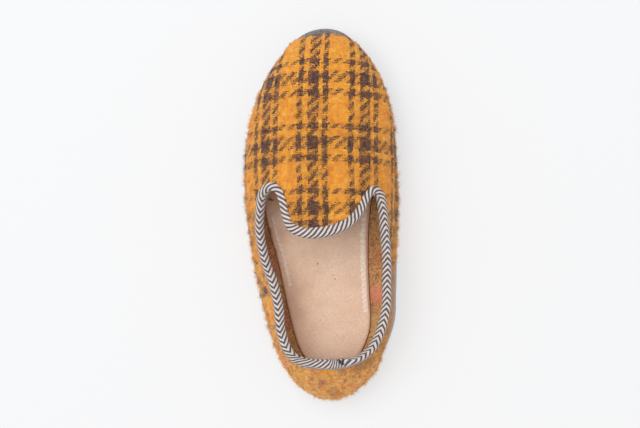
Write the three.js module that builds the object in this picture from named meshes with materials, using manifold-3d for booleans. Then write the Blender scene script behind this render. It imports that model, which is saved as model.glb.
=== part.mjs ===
// A left house slipper: a soft plaid wool upper with a tongue flap between two side notches, a striped
// tape bound over its collar, a pale insole inside and a low grey outsole that shows at the toe.
// Millimetres. +Z is up, +Y points to the toe and +X to the inner side of the foot, and the origin is on
// the floor under the middle of the slipper.
import * as THREE from "three";
import Module from "manifold-3d";
import { mergeVertices } from "three/addons/utils/BufferGeometryUtils.js";

const wasm = await Module();
wasm.setup();

// Driving dimensions.
const SOLE_THICKNESS = 7;
const GAP = 0.3;
const WALL = 3.5;
const INSOLE_THICKNESS = 5.2;
const WIDEST_ABOVE_SOLE = 10;
const FEATHER_RADIUS = 4;
const TOE_SPRING = 9;
const SPRING_START_Y = 45;
const ARCH_LIFT = 1.6;
const TAPE = 1;
const TAPE_GAP = 0.45;
const TAPE_COVER = 4.2;
const TAPE_SHOULDER = 0.6;
const FEATHER_Z = SOLE_THICKNESS + GAP;
const WIDEST_Z = FEATHER_Z + WIDEST_ABOVE_SOLE;

// The last, from toe to heel. left and right are the widest line of the wall, ridge is where the top is
// highest and top is how high. Behind y = -15 the top is the last's own, above the open mouth. leanLeft
// and leanRight are how far the soft wall slouches inwards between LEAN_FROM and LEAN_HEIGHT.
const LAST = [
  { y: 124.8, left: 5, right: 5, ridge: 5, top: WIDEST_Z, leanLeft: 0, leanRight: 0 },
  { y: 120, left: -17.8, right: 23, ridge: 5, top: 28.5, leanLeft: 0, leanRight: 0 },
  { y: 111, left: -26, right: 31.8, ridge: 5, top: 34, leanLeft: 0, leanRight: 0 },
  { y: 101, left: -34, right: 38.8, ridge: 5, top: 38, leanLeft: 0, leanRight: 0 },
  { y: 84, left: -43, right: 45.9, ridge: 5, top: 43.5, leanLeft: 0, leanRight: 0 },
  { y: 64, left: -49.4, right: 50.4, ridge: 5, top: 49.5, leanLeft: 0, leanRight: 0 },
  { y: 40, left: -52.8, right: 52.4, ridge: 5.5, top: 56, leanLeft: 0, leanRight: 0 },
  { y: 14, left: -53, right: 53.6, ridge: 7, top: 62.5, leanLeft: 0, leanRight: -1 },
  { y: -12, left: -50.4, right: 53.6, ridge: 8, top: 68, leanLeft: 1, leanRight: -1 },
  { y: -33, left: -47, right: 51.6, ridge: 8, top: 73, leanLeft: 5.2, leanRight: -2.8 },
  { y: -46, left: -44.6, right: 49.3, ridge: 8, top: 76, leanLeft: 9.8, leanRight: -4.8 },
  { y: -62, left: -41, right: 48.8, ridge: 8, top: 79, leanLeft: 10.6, leanRight: -4.8 },
  { y: -80, left: -36, right: 47.2, ridge: 8, top: 80, leanLeft: 6.6, leanRight: -1.7 },
  { y: -96, left: -30.4, right: 43.6, ridge: 8, top: 78, leanLeft: 6, leanRight: 3 },
  { y: -110, left: -23.8, right: 38.4, ridge: 8, top: 72, leanLeft: 6, leanRight: 6 },
  { y: -122, left: -14, right: 27, ridge: 8, top: 58, leanLeft: 6, leanRight: 8 },
  { y: -130.2, left: 7, right: 7, ridge: 7, top: WIDEST_Z, leanLeft: 6, leanRight: 8 },
];
const SQUARENESS = { left: 2, right: 2.3 };
const TOE_CENTRE_Y = 84;
const HEEL_CENTRE_Y = -90;
const LEAN_FROM = 20;
const LEAN_HEIGHT = 54;
const LEAN_FADE = 0.75;
const HEEL_LEAN = 22;
const HEEL_LEAN_POWER = 1.4;

// The outsole's edge and the insole's edge, from toe to heel.
const SOLE = [
  { y: 129.2, left: 2.5, right: 2.5 },
  { y: 126, left: -11.6, right: 15.6 },
  { y: 119, left: -21, right: 23.5 },
  { y: 107, left: -29.5, right: 33.4 },
  { y: 90, left: -39.5, right: 42 },
  { y: 66, left: -48, right: 48.8 },
  { y: 36, left: -52, right: 51.5 },
  { y: 4, left: -51, right: 52.4 },
  { y: -30, left: -45.6, right: 52.4 },
  { y: -56, left: -40.4, right: 52 },
  { y: -76, left: -35, right: 51 },
  { y: -94, left: -28.8, right: 45 },
  { y: -109, left: -22, right: 37.2 },
  { y: -119.5, left: -13.6, right: 28 },
  { y: -126, left: -3.6, right: 18 },
  { y: -128.4, left: 7.2, right: 7.2 },
];
const INSOLE = [
  { y: 113, left: 4, right: 4 },
  { y: 108, left: -11.5, right: 17.5 },
  { y: 98, left: -23, right: 27.5 },
  { y: 80, left: -34, right: 36.5 },
  { y: 55, left: -42, right: 40.5 },
  { y: 28, left: -43.6, right: 39 },
  { y: 8, left: -42, right: 34.8 },
  { y: -12, left: -38, right: 32.9 },
  { y: -36, left: -31.2, right: 32.7 },
  { y: -58, left: -26.6, right: 33.8 },
  { y: -80, left: -21.4, right: 34.2 },
  { y: -98, left: -15.2, right: 28 },
  { y: -109, left: -6, right: 19.6 },
  { y: -114, left: 7, right: 7 },
];

// The edge of the collar, once round from the back of the tongue by the left notch, the left side and
// the heel. x places a row by its plan, height by how high it is on the wall, and bearing by the
// angle in plan about the heel's centre.
const COLLAR = [
  { x: 8, y: -12.6 },
  { x: -5.4, y: -13 },
  { x: -15, y: -9.4 },
  { x: -20, y: -0.6 },
  { x: -22.4, y: 9 },
  { x: -25.6, y: 15.8 },
  { x: -31, y: 17.8 },
  { x: -36.2, y: 13.6 },
  { x: -38.2, y: 5.4 },
  { side: "left", y: -8, height: 46 },
  { side: "left", y: -24, height: 45 },
  { side: "left", y: -44, height: 44 },
  { side: "left", y: -64, height: 45 },
  { side: "left", y: -82, height: 47 },
  { bearing: 212, height: 50 },
  { bearing: 240, height: 52.5 },
  { bearing: 270, height: 53.5 },
  { bearing: 300, height: 53 },
  { bearing: 330, height: 51 },
  { bearing: 352, height: 49 },
  { side: "right", y: -78, height: 46.5 },
  { side: "right", y: -58, height: 45 },
  { side: "right", y: -34, height: 45 },
  { side: "right", y: -12, height: 47 },
  { x: 46.2, y: 5 },
  { x: 44.6, y: 12 },
  { x: 41, y: 15.6 },
  { x: 37.6, y: 12 },
  { x: 34, y: 4 },
  { x: 28, y: -4.2 },
  { x: 19, y: -9.6 },
];

// Mesh steps.
const SIDE_STEPS = 24;
const TOE_STEPS = 24;
const HEEL_STEPS = 28;
const WALL_ROWS = 14;
const FEATHER_ROWS = 3;
const COLLAR_STEPS = 128;
const SLAB_STEPS = 36;
const EDGE_SAMPLES = 720;

// How a place on the last is found: by halving a distance that reaches past it, and by small steps
// about it.
const HALVINGS = 44;
const FARTHEST = 200;
const MOST_TURN = 89.9;
const PROBE = 0.4;
const WELD = 1e-3;

const { clamp, smoothstep, degToRad: degrees } = THREE.MathUtils;
const point = (x, y, z) => new THREE.Vector3(x, y, z);

// A row's station is an angle, so that an outline closes round at toe and heel as a circle does.
function outlineOf(rows) {
  const toe = rows[0].y;
  const heel = rows.at(-1).y;
  const stationOf = (y) => Math.acos(clamp((2 * y - toe - heel) / (toe - heel), -1, 1));
  const stations = rows.map((row) => stationOf(row.y));
  const slope = (name, i) => {
    const before = Math.max(i - 1, 0);
    const after = Math.min(i + 1, rows.length - 1);
    return (rows[after][name] - rows[before][name]) / (stations[after] - stations[before]);
  };
  const at = (name, y) => {
    const s = stationOf(y);
    const i = clamp(stations.findLastIndex((station) => station <= s), 0, rows.length - 2);
    const width = stations[i + 1] - stations[i];
    const t = (s - stations[i]) / width;
    const [t2, t3] = [t * t, t * t * t];
    return (
      (2 * t3 - 3 * t2 + 1) * rows[i][name] +
      (t3 - 2 * t2 + t) * width * slope(name, i) +
      (3 * t2 - 2 * t3) * rows[i + 1][name] +
      (t3 - t2) * width * slope(name, i + 1)
    );
  };
  const edge = (turn) => {
    const y = (toe + heel) / 2 + ((toe - heel) / 2) * Math.cos(turn);
    return point(at(Math.sin(turn) < 0 ? "left" : "right", y), y, 0);
  };
  return { toe, heel, at, edge };
}

const last = outlineOf(LAST);
const soleOutline = outlineOf(SOLE);
const insoleOutline = outlineOf(INSOLE);

// The toe of every piece is bent up off the floor by this much.
const springAt = (y) => {
  const along = Math.max(y - SPRING_START_Y, 0) / (SOLE[0].y - SPRING_START_Y);
  return TOE_SPRING * along * along;
};
const sprung = (p) => point(p.x, p.y, p.z + springAt(p.y));

// Below 1 inside the last, and above 1 outside it.
function lastLevel(x, y, z) {
  if (y >= last.toe || y <= last.heel) return Infinity;
  const ridge = last.at("ridge", y);
  const side = x < ridge ? "left" : "right";
  const across = Math.abs(x - ridge) / Math.abs(last.at(side, y) - ridge);
  const up = Math.abs(z - WIDEST_Z) / (last.at("top", y) - WIDEST_Z);
  return across ** SQUARENESS[side] + up ** SQUARENESS[side];
}

// A place on the last is (u, v). v is y along the spine, and u is 90 degrees at the widest line, 0 on
// the ridge and below 0 on the left. Past the spine's ends u and v turn about the toe's or heel's centre.
function rayOf(u, v) {
  const centreY = clamp(v, HEEL_CENTRE_Y, TOE_CENTRE_Y);
  const reach = Math.hypot(u, v - centreY);
  const heading = reach > 0 ? [u / reach, (v - centreY) / reach] : [0, 0];
  return { centre: point(last.at("ridge", centreY), centreY, WIDEST_Z), heading, rise: degrees(90 - reach) };
}

function leanAt(u, v, z) {
  const { heading, rise } = rayOf(u, v);
  const side = last.at(u < 0 ? "leanLeft" : "leanRight", v);
  const back = v < HEEL_CENTRE_Y ? HEEL_LEAN * Math.abs(heading[1]) ** HEEL_LEAN_POWER : 0;
  const height = smoothstep(z, LEAN_FROM, LEAN_HEIGHT);
  const share = height * smoothstep(Math.cos(rise), 0, LEAN_FADE);
  return point(-heading[0] * side * share, back * share, 0);
}

function lastPoint(u, v) {
  const { centre, heading, rise } = rayOf(u, v);
  const direction = point(heading[0] * Math.cos(rise), heading[1] * Math.cos(rise), Math.sin(rise));
  let [inside, outside] = [0, FARTHEST];
  for (let i = 0; i < HALVINGS; i += 1) {
    const middle = (inside + outside) / 2;
    const p = direction.clone().multiplyScalar(middle).add(centre);
    if (lastLevel(p.x, p.y, p.z) < 1) inside = middle;
    else outside = middle;
  }
  return direction.multiplyScalar(inside).add(centre);
}

function lastNormal(u, v) {
  const across = lastPoint(u + PROBE, v).sub(lastPoint(u - PROBE, v));
  const along = lastPoint(u, v + PROBE).sub(lastPoint(u, v - PROBE));
  return across.cross(along).normalize();
}

// A point on the upper's outer face, or out of it by offset, with the wall's slouch and toe spring.
function upperPoint(u, v, offset = 0) {
  const base = lastPoint(u, v);
  const moved = base.clone().addScaledVector(lastNormal(u, v), offset);
  return sprung(moved.add(leanAt(u, v, base.z)));
}

// Where a wall at this heading is this high, and where the last is at this place in plan.
function uAtHeight(placeOf, height) {
  let [low, high] = [0, MOST_TURN];
  for (let i = 0; i < HALVINGS; i += 1) {
    const middle = (low + high) / 2;
    if (lastPoint(...placeOf(90 - middle)).z < height) low = middle;
    else high = middle;
  }
  return placeOf(90 - low);
}
function uAtPlan(x, y) {
  const sign = x < last.at("ridge", y) ? -1 : 1;
  let [low, high] = [0, MOST_TURN];
  for (let i = 0; i < HALVINGS; i += 1) {
    const middle = (low + high) / 2;
    if (sign * (upperPoint(sign * middle, y).x - x) < 0) low = middle;
    else high = middle;
  }
  return [sign * low, y];
}
function placeOfRow(row) {
  if (row.x !== undefined) return uAtPlan(row.x, row.y);
  if (row.side) return uAtHeight((reach) => [row.side === "left" ? -reach : reach, row.y], row.height);
  const bearing = degrees(row.bearing);
  const turned = (reach) => [reach * Math.cos(bearing), HEEL_CENTRE_Y + reach * Math.sin(bearing)];
  return uAtHeight(turned, row.height);
}

// Closed meshes as solids, and solids as three.js geometry.
function solidOf(vertices, triangles) {
  const geometry = new THREE.BufferGeometry();
  const flat = vertices.flatMap((p) => [p.x, p.y, p.z]);
  geometry.setAttribute("position", new THREE.Float32BufferAttribute(flat, 3));
  geometry.setIndex(triangles.flat());
  const merged = mergeVertices(geometry, WELD);
  const index = [...merged.index.array];
  const kept = [];
  for (let i = 0; i < index.length; i += 3) {
    const [a, b, c] = index.slice(i, i + 3);
    if (a !== b && b !== c && c !== a) kept.push(a, b, c);
  }
  const build = (triVerts) =>
    new wasm.Manifold(
      new wasm.Mesh({
        numProp: 3,
        vertProperties: new Float32Array(merged.attributes.position.array),
        triVerts: new Uint32Array(triVerts),
      }),
    );
  const made = build(kept);
  return made.volume() > 0 ? made : build(kept.reverse());
}
function geometryOf(solid) {
  const mesh = solid.getMesh();
  const geometry = new THREE.BufferGeometry();
  const positions = new Float32Array(mesh.triVerts.length * 3);
  mesh.triVerts.forEach((vertex, i) => {
    const from = vertex * mesh.numProp;
    positions.set(mesh.vertProperties.subarray(from, from + 3), i * 3);
  });
  geometry.setAttribute("position", new THREE.BufferAttribute(positions, 3));
  geometry.computeVertexNormals();
  return geometry;
}

// Triangles between rings of one length, each ring joined to the next and the last back to the first.
function ringTriangles(rings, steps) {
  const triangles = [];
  for (let r = 0; r < rings; r += 1) {
    const next = (r + 1) % rings;
    for (let i = 0; i < steps; i += 1) {
      const j = (i + 1) % steps;
      const [a, b, c, d] = [r * steps + i, r * steps + j, next * steps + j, next * steps + i];
      triangles.push([a, b, c], [a, c, d]);
    }
  }
  return triangles;
}

// The upper's wall, from the flange round the insole, out over the feather and up to the ridge.
function wallStations() {
  const stations = [];
  const along = (i) => HEEL_CENTRE_Y + ((TOE_CENTRE_Y - HEEL_CENTRE_Y) * i) / SIDE_STEPS;
  const turned = (centre, angle) => (reach) => [reach * Math.cos(angle), centre + reach * Math.sin(angle)];
  const heelTurn = (i) => Math.PI + (Math.PI * i) / HEEL_STEPS;
  for (let i = 0; i < SIDE_STEPS; i += 1) stations.push((reach) => [reach, along(i)]);
  for (let i = 0; i < TOE_STEPS; i += 1) stations.push(turned(TOE_CENTRE_Y, (Math.PI * i) / TOE_STEPS));
  for (let i = 0; i < SIDE_STEPS; i += 1) stations.push((reach) => [-reach, along(SIDE_STEPS - i)]);
  for (let i = 0; i < HEEL_STEPS; i += 1) stations.push(turned(HEEL_CENTRE_Y, heelTurn(i)));
  return stations;
}
function flangeEdge(from) {
  const turnOf = (_, i) => (2 * Math.PI * i) / EDGE_SAMPLES;
  const samples = Array.from({ length: EDGE_SAMPLES }, turnOf).map(insoleOutline.edge);
  return samples.reduce((best, p) => (p.distanceTo(from) < best.distanceTo(from) ? p : best));
}
function upperShell() {
  const stations = wallStations();
  const widest = stations.map((placeOf) => lastPoint(...placeOf(90)));
  const flange = widest.map((p) => flangeEdge(point(p.x, p.y, 0)));
  const outward = stations.map((placeOf) => lastNormal(...placeOf(90)).setZ(0).normalize());
  const feather = (k, turn, offset) => {
    const radius = FEATHER_RADIUS + offset;
    const drop = WIDEST_ABOVE_SOLE + offset;
    const p = widest[k].clone().addScaledVector(outward[k], radius * Math.cos(turn) - FEATHER_RADIUS);
    return sprung(p.setZ(WIDEST_Z - drop * Math.sin(turn)));
  };
  const skin = (offset) => {
    const tuck = (p, k) => point(p.x, p.y, FEATHER_Z - offset).addScaledVector(outward[k], GAP);
    const rings = [flange.map((p, k) => sprung(tuck(p, k)))];
    for (let row = FEATHER_ROWS; row > 0; row -= 1)
      rings.push(stations.map((_, k) => feather(k, (Math.PI / 2) * (row / FEATHER_ROWS), offset)));
    for (let row = 0; row <= WALL_ROWS; row += 1)
      rings.push(stations.map((placeOf) => upperPoint(...placeOf(90 * (1 - row / WALL_ROWS)), offset)));
    return rings;
  };
  const rings = [...skin(0), ...skin(-WALL).reverse()];
  const ridge = FEATHER_ROWS + WALL_ROWS + 1;
  const triangles = ringTriangles(rings.length, stations.length);
  const perRing = stations.length * 2;
  triangles.splice(ridge * perRing, perRing);
  return solidOf(rings.flat(), triangles);
}

// The collar's edge, with the way across the wall there and, as a step in (u, v), the way down into it.
function collarFrames() {
  const places = COLLAR.map(placeOfRow).map(([u, v]) => point(u, v, 0));
  const curve = new THREE.CatmullRomCurve3(places, true, "centripetal");
  const loop = curve.getSpacedPoints(COLLAR_STEPS).slice(0, -1);
  const edge = loop.map((p) => upperPoint(p.x, p.y));
  return edge.map((at, i) => {
    const along = edge[(i + 1) % edge.length].clone().sub(edge.at(i - 1)).normalize();
    const { x: u, y: v } = loop[i];
    const perU = upperPoint(u + PROBE, v).sub(upperPoint(u - PROBE, v)).divideScalar(2 * PROBE);
    const perV = upperPoint(u, v + PROBE).sub(upperPoint(u, v - PROBE)).divideScalar(2 * PROBE);
    const normal = perU.clone().cross(perV).normalize();
    const down = along.clone().cross(normal).normalize();
    const [uu, uv, vv] = [perU.dot(perU), perU.dot(perV), perV.dot(perV)];
    const [du, dv] = [perU.dot(down), perV.dot(down)];
    const size = uu * vv - uv * uv;
    const across = at.clone().sub(upperPoint(u, v, -WALL));
    return { at, u, v, across, downU: (du * vv - dv * uv) / size, downV: (dv * uu - du * uv) / size };
  });
}
const frames = collarFrames();
const collarPoint = (f, out, down) => upperPoint(f.u + f.downU * down, f.v + f.downV * down, out);

// Everything inside the collar's edge, from inside the slipper up to well over it. It crosses the wall
// by CUT_ACROSS times the wall's thickness each way.
const CUT_TOP = 150;
const CUT_ACROSS = 4;
function mouth() {
  const inner = frames.map((f) => f.at.clone().addScaledVector(f.across, -CUT_ACROSS));
  const outer = frames.map((f) => f.at.clone().addScaledVector(f.across, CUT_ACROSS));
  const rings = [inner, outer, outer.map((p) => point(p.x, p.y, CUT_TOP))];
  const steps = frames.length;
  const triangles = ringTriangles(rings.length, steps).slice(0, (rings.length - 1) * steps * 2);
  const plan = frames.map((f) => new THREE.Vector2(f.at.x, f.at.y));
  const areaOf = (loop) => Math.sign(THREE.ShapeUtils.area(loop));
  for (const face of THREE.ShapeUtils.triangulateShape(plan, [])) {
    const turned = areaOf(face.map((i) => plan[i])) !== areaOf(plan);
    const [a, b, c] = turned ? face.toReversed() : face;
    triangles.push([c, b, a], [a + 2 * steps, b + 2 * steps, c + 2 * steps]);
  }
  return solidOf(rings.flat(), triangles);
}

// The tape's section: out from the wall's outer face and down from its edge. It is folded over the
// edge and covers the wall inside and out.
const FOLD = { side: TAPE_GAP + TAPE, top: -TAPE_GAP - TAPE };
const FOLD_CORNER = { out: TAPE * 0.4, down: -TAPE_GAP - TAPE * 0.8 };
const TAPE_SECTION = [
  { out: TAPE_GAP, down: TAPE_COVER },
  { out: FOLD.side, down: TAPE_COVER },
  { out: FOLD.side, down: TAPE_SHOULDER },
  { out: FOLD_CORNER.out, down: FOLD_CORNER.down },
  { out: -WALL / 2, down: FOLD.top },
  { out: -WALL - FOLD_CORNER.out, down: FOLD_CORNER.down },
  { out: -WALL - FOLD.side, down: TAPE_SHOULDER },
  { out: -WALL - FOLD.side, down: TAPE_COVER },
  { out: -WALL - TAPE_GAP, down: TAPE_COVER },
  { out: -WALL - TAPE_GAP, down: -TAPE_GAP },
  { out: TAPE_GAP, down: -TAPE_GAP },
];
function collarTape() {
  const rings = TAPE_SECTION.map(({ out, down }) => frames.map((f) => collarPoint(f, out, down)));
  return solidOf(rings.flat(), ringTriangles(rings.length, frames.length));
}

// A slab with rounded edges under or in the slipper: rings is a table of how far in from the outline
// and how high each ring is. Its top and bottom are strips from side to side.
function slab(outline, rings, bottomLift = () => 0) {
  const steps = 2 * SLAB_STEPS;
  const edge = Array.from({ length: steps }, (_, i) => outline.edge((2 * Math.PI * i) / steps));
  const inward = edge.map((_, i) => {
    const along = edge[(i + 1) % steps].clone().sub(edge.at(i - 1)).normalize();
    return point(-along.y, along.x, 0).negate();
  });
  const vertices = rings.flatMap(({ inset, z, bottom }) =>
    edge.map((p, i) => {
      const q = p.clone().addScaledVector(inward[i], inset);
      return sprung(point(q.x, q.y, z + (bottom ? bottomLift(q.y) : 0)));
    }),
  );
  const triangles = ringTriangles(rings.length, steps).slice(0, (rings.length - 1) * steps * 2);
  const strips = (from, flip) => {
    for (let i = 0; i < SLAB_STEPS; i += 1) {
      const [a, b] = [i, i + 1];
      const [c, d] = [(steps - i - 1) % steps, (steps - i) % steps];
      for (const face of [[a, b, c], [a, c, d]]) {
        const turned = flip ? face.toReversed() : face;
        if (new Set(face).size === face.length) triangles.push(turned.map((k) => k + from));
      }
    }
  };
  strips(0, true);
  strips((rings.length - 1) * steps, false);
  return solidOf(vertices, triangles);
}

// The sole is lifted off the floor under the arch.
const ARCH = { from: 12, to: -62 };
const archAt = (y) => {
  const along = clamp((ARCH.from - y) / (ARCH.from - ARCH.to), 0, 1);
  return ARCH_LIFT * Math.sin(Math.PI * along) ** 2;
};
const SOLE_RINGS = [
  { inset: 1.6, z: SOLE_THICKNESS },
  { inset: 0.4, z: SOLE_THICKNESS - 0.5 },
  { inset: 0, z: SOLE_THICKNESS - 1.6 },
  { inset: 0.5, z: 3.2 },
  { inset: 1.3, z: 2.6 },
  { inset: 1.5, z: 1.2 },
  { inset: 2.6, z: 0, bottom: true },
];
const INSOLE_RINGS = [
  { inset: 2.4, z: FEATHER_Z + INSOLE_THICKNESS },
  { inset: 0.9, z: FEATHER_Z + INSOLE_THICKNESS - 0.5 },
  { inset: 0.2, z: FEATHER_Z + INSOLE_THICKNESS - 1.6 },
  { inset: 0.2, z: FEATHER_Z },
];

const plaidWool = new THREE.MeshStandardMaterial({ color: 0xd9922c, roughness: 0.95, metalness: 0 });
const stripedTape = new THREE.MeshStandardMaterial({ color: 0x9b9292, roughness: 0.85, metalness: 0 });
const paleCloth = new THREE.MeshStandardMaterial({ color: 0xcfae8f, roughness: 0.9, metalness: 0 });
const greySole = new THREE.MeshStandardMaterial({ color: 0x55585b, roughness: 0.8, metalness: 0 });

const slipper = new THREE.Group();
function add(name, solid, material) {
  const mesh = new THREE.Mesh(geometryOf(solid), material);
  mesh.name = name;
  slipper.add(mesh);
}
add("outsole", slab(soleOutline, SOLE_RINGS, archAt), greySole);
add("insole", slab(insoleOutline, INSOLE_RINGS), paleCloth);
add("upper", upperShell().subtract(mouth()), plaidWool);
add("collar_binding", collarTape(), stripedTape);

export default slipper;
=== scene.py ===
"""A left house slipper: fuzzy plaid wool with a striped collar tape, a felt lining and a grey sole.

The pieces follow the same last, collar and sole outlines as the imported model. Lengths are in millimetres
until a mesh is made. +Y points to the toe, +X to the inner side of the foot and +Z is up.
"""
import math

import bpy
import numpy as np
from mathutils import Matrix, Vector


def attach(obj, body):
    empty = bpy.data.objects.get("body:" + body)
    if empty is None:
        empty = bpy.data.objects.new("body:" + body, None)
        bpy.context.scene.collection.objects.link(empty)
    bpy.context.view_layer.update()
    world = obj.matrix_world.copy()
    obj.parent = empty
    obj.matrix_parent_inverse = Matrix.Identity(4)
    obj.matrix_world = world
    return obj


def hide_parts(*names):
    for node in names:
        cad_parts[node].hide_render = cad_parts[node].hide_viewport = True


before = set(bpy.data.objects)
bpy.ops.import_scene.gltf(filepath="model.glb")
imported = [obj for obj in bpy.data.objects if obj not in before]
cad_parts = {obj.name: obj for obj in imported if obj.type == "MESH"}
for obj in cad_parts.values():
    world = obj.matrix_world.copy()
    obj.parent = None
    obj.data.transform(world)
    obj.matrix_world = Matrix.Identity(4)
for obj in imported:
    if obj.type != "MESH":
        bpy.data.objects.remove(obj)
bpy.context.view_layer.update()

MM = 0.001
SEED = 20

# The slipper's own sizes.
SOLE_THICKNESS = 7
GAP = 0.3
WALL = 3.5
INSOLE_THICKNESS = 5.2
WIDEST_ABOVE_SOLE = 10
FEATHER_RADIUS = 4
TOE_SPRING = 9
SPRING_START_Y = 45
ARCH_LIFT = 1.6
ARCH_FROM = 12
ARCH_TO = -62
TAPE = 1.0
TAPE_GAP = 0.45
TAPE_COVER = 4.2
FEATHER_Z = SOLE_THICKNESS + GAP
WIDEST_Z = FEATHER_Z + WIDEST_ABOVE_SOLE
INSOLE_TOP = FEATHER_Z + INSOLE_THICKNESS
WOOL = 1.4

# The last, from toe to heel: the widest line on each side, the ridge's place and height, and how far the
# wall slouches inwards between LEAN_FROM and LEAN_HEIGHT.
LAST_COLUMNS = ("y", "left", "right", "ridge", "top", "lean_left", "lean_right")
LAST_ROWS = (
    (124.8, 5, 5, 5, WIDEST_Z, 0, 0),
    (120, -17.8, 23, 5, 28.5, 0, 0),
    (111, -26, 31.8, 5, 34, 0, 0),
    (101, -34, 38.8, 5, 38, 0, 0),
    (84, -43, 45.9, 5, 43.5, 0, 0),
    (64, -49.4, 50.4, 5, 49.5, 0, 0),
    (40, -52.8, 52.4, 5.5, 56, 0, 0),
    (14, -53, 53.6, 7, 62.5, 0, -1),
    (-12, -50.4, 53.6, 8, 68, 1, -1),
    (-33, -47, 51.6, 8, 73, 5.2, -2.8),
    (-46, -44.6, 49.3, 8, 76, 9.8, -4.8),
    (-62, -41, 48.8, 8, 79, 10.6, -4.8),
    (-80, -36, 47.2, 8, 80, 6.6, -1.7),
    (-96, -30.4, 43.6, 8, 78, 6, 3),
    (-110, -23.8, 38.4, 8, 72, 6, 6),
    (-122, -14, 27, 8, 58, 6, 8),
    (-130.2, 7, 7, 7, WIDEST_Z, 6, 8),
)
SQUARENESS_LEFT = 2
SQUARENESS_RIGHT = 2.3
TOE_CENTRE_Y = 84
HEEL_CENTRE_Y = -90
LEAN_FROM = 20
LEAN_HEIGHT = 54
LEAN_FADE = 0.75
HEEL_LEAN = 22
HEEL_LEAN_POWER = 1.4

EDGE_COLUMNS = ("y", "left", "right")
SOLE_ROWS = (
    (129.2, 2.5, 2.5),
    (126, -11.6, 15.6),
    (119, -21, 23.5),
    (107, -29.5, 33.4),
    (90, -39.5, 42),
    (66, -48, 48.8),
    (36, -52, 51.5),
    (4, -51, 52.4),
    (-30, -45.6, 52.4),
    (-56, -40.4, 52),
    (-76, -35, 51),
    (-94, -28.8, 45),
    (-109, -22, 37.2),
    (-119.5, -13.6, 28),
    (-126, -3.6, 18),
    (-128.4, 7.2, 7.2),
)
INSOLE_ROWS = (
    (113, 4, 4),
    (108, -11.5, 17.5),
    (98, -23, 27.5),
    (80, -34, 36.5),
    (55, -42, 40.5),
    (28, -43.6, 39),
    (8, -42, 34.8),
    (-12, -38, 32.9),
    (-36, -31.2, 32.7),
    (-58, -26.6, 33.8),
    (-80, -21.4, 34.2),
    (-98, -15.2, 28),
    (-109, -6, 19.6),
    (-114, 7, 7),
)

# The collar's edge, once round from the back of the tongue by the left notch, the left side and the heel. A
# row is placed by its plan ("plan", x, y), by height on a side ("left" or "right", y, height), or by height
# at a bearing about the heel's centre ("heel", degrees, height).
COLLAR_ROWS = (
    ("plan", 8, -12.6),
    ("plan", -5.4, -13),
    ("plan", -15, -9.4),
    ("plan", -20, -0.6),
    ("plan", -22.4, 9),
    ("plan", -25.6, 15.8),
    ("plan", -31, 17.8),
    ("plan", -36.2, 13.6),
    ("plan", -38.2, 5.4),
    ("left", -8, 46),
    ("left", -24, 45),
    ("left", -44, 44),
    ("left", -64, 45),
    ("left", -82, 47),
    ("heel", 212, 50),
    ("heel", 240, 52.5),
    ("heel", 270, 53.5),
    ("heel", 300, 53),
    ("heel", 330, 51),
    ("heel", 352, 49),
    ("right", -78, 46.5),
    ("right", -58, 45),
    ("right", -34, 45),
    ("right", -12, 47),
    ("plan", 46.2, 5),
    ("plan", 44.6, 12),
    ("plan", 41, 15.6),
    ("plan", 37.6, 12),
    ("plan", 34, 4),
    ("plan", 28, -4.2),
    ("plan", 19, -9.6),
)

# Mesh steps, and the steps and limits of the searches for points.
SIDE_STEPS = 120
TOE_STEPS = 100
HEEL_STEPS = 88
WALL_ROWS = 66
FEATHER_ROWS = 9
COLLAR_STEPS = 900
CURVE_STEPS = 60
OUTLINE_STEPS = 1440
SLAB_STEPS = 220
SOLVER_STEPS = 34
UV_STEP = 0.5
LAST_STEP = 0.4
FARTHEST = 200.0
WIDEST_REACH = 90.0
LOWEST_REACH = 89.9


def smooth(value, low, high):
    """0 below low and 1 above high, with a soft start and end."""
    t = np.clip((value - low) / (high - low), 0, 1)
    return t * t * (3 - 2 * t)


def unit(vectors):
    """The same directions with length 1."""
    return vectors / np.maximum(np.linalg.norm(vectors, axis=-1, keepdims=True), 1e-12)


class Outline:
    """A table by y, smooth between its rows. Rows sit at angles, so both ends close as a circle does."""

    def __init__(self, columns, rows):
        self.values = {name: np.array([row[i] for row in rows], float) for i, name in enumerate(columns)}
        self.toe = self.values["y"][0]
        self.heel = self.values["y"][-1]
        self.stations = self.station(self.values["y"])
        before = np.maximum(np.arange(len(rows)) - 1, 0)
        after = np.minimum(np.arange(len(rows)) + 1, len(rows) - 1)
        run = self.stations[after] - self.stations[before]
        self.slopes = {name: (v[after] - v[before]) / run for name, v in self.values.items()}

    def station(self, y):
        return np.arccos(np.clip((2 * y - self.toe - self.heel) / (self.toe - self.heel), -1, 1))

    def at(self, name, y):
        s = self.station(np.asarray(y, float))
        i = np.clip(np.searchsorted(self.stations, s, side="right") - 1, 0, len(self.stations) - 2)
        width = self.stations[i + 1] - self.stations[i]
        t = (s - self.stations[i]) / width
        v, slope = self.values[name], self.slopes[name]
        start = (2 * t**3 - 3 * t**2 + 1) * v[i] + (t**3 - 2 * t**2 + t) * width * slope[i]
        return start + (3 * t**2 - 2 * t**3) * v[i + 1] + (t**3 - t**2) * width * slope[i + 1]

    def edge(self, turn):
        """The outline's points, clockwise from above as turn goes from 0 at the toe to a full turn."""
        y = (self.toe + self.heel) / 2 + (self.toe - self.heel) / 2 * np.cos(turn)
        x = np.where(np.sin(turn) < 0, self.at("left", y), self.at("right", y))
        return np.stack([x, y], -1)

    def fine_edge(self):
        return self.edge(np.linspace(0, 2 * math.pi, OUTLINE_STEPS, endpoint=False))


LAST = Outline(LAST_COLUMNS, LAST_ROWS)
SOLE = Outline(EDGE_COLUMNS, SOLE_ROWS)
INSOLE = Outline(EDGE_COLUMNS, INSOLE_ROWS)


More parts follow.
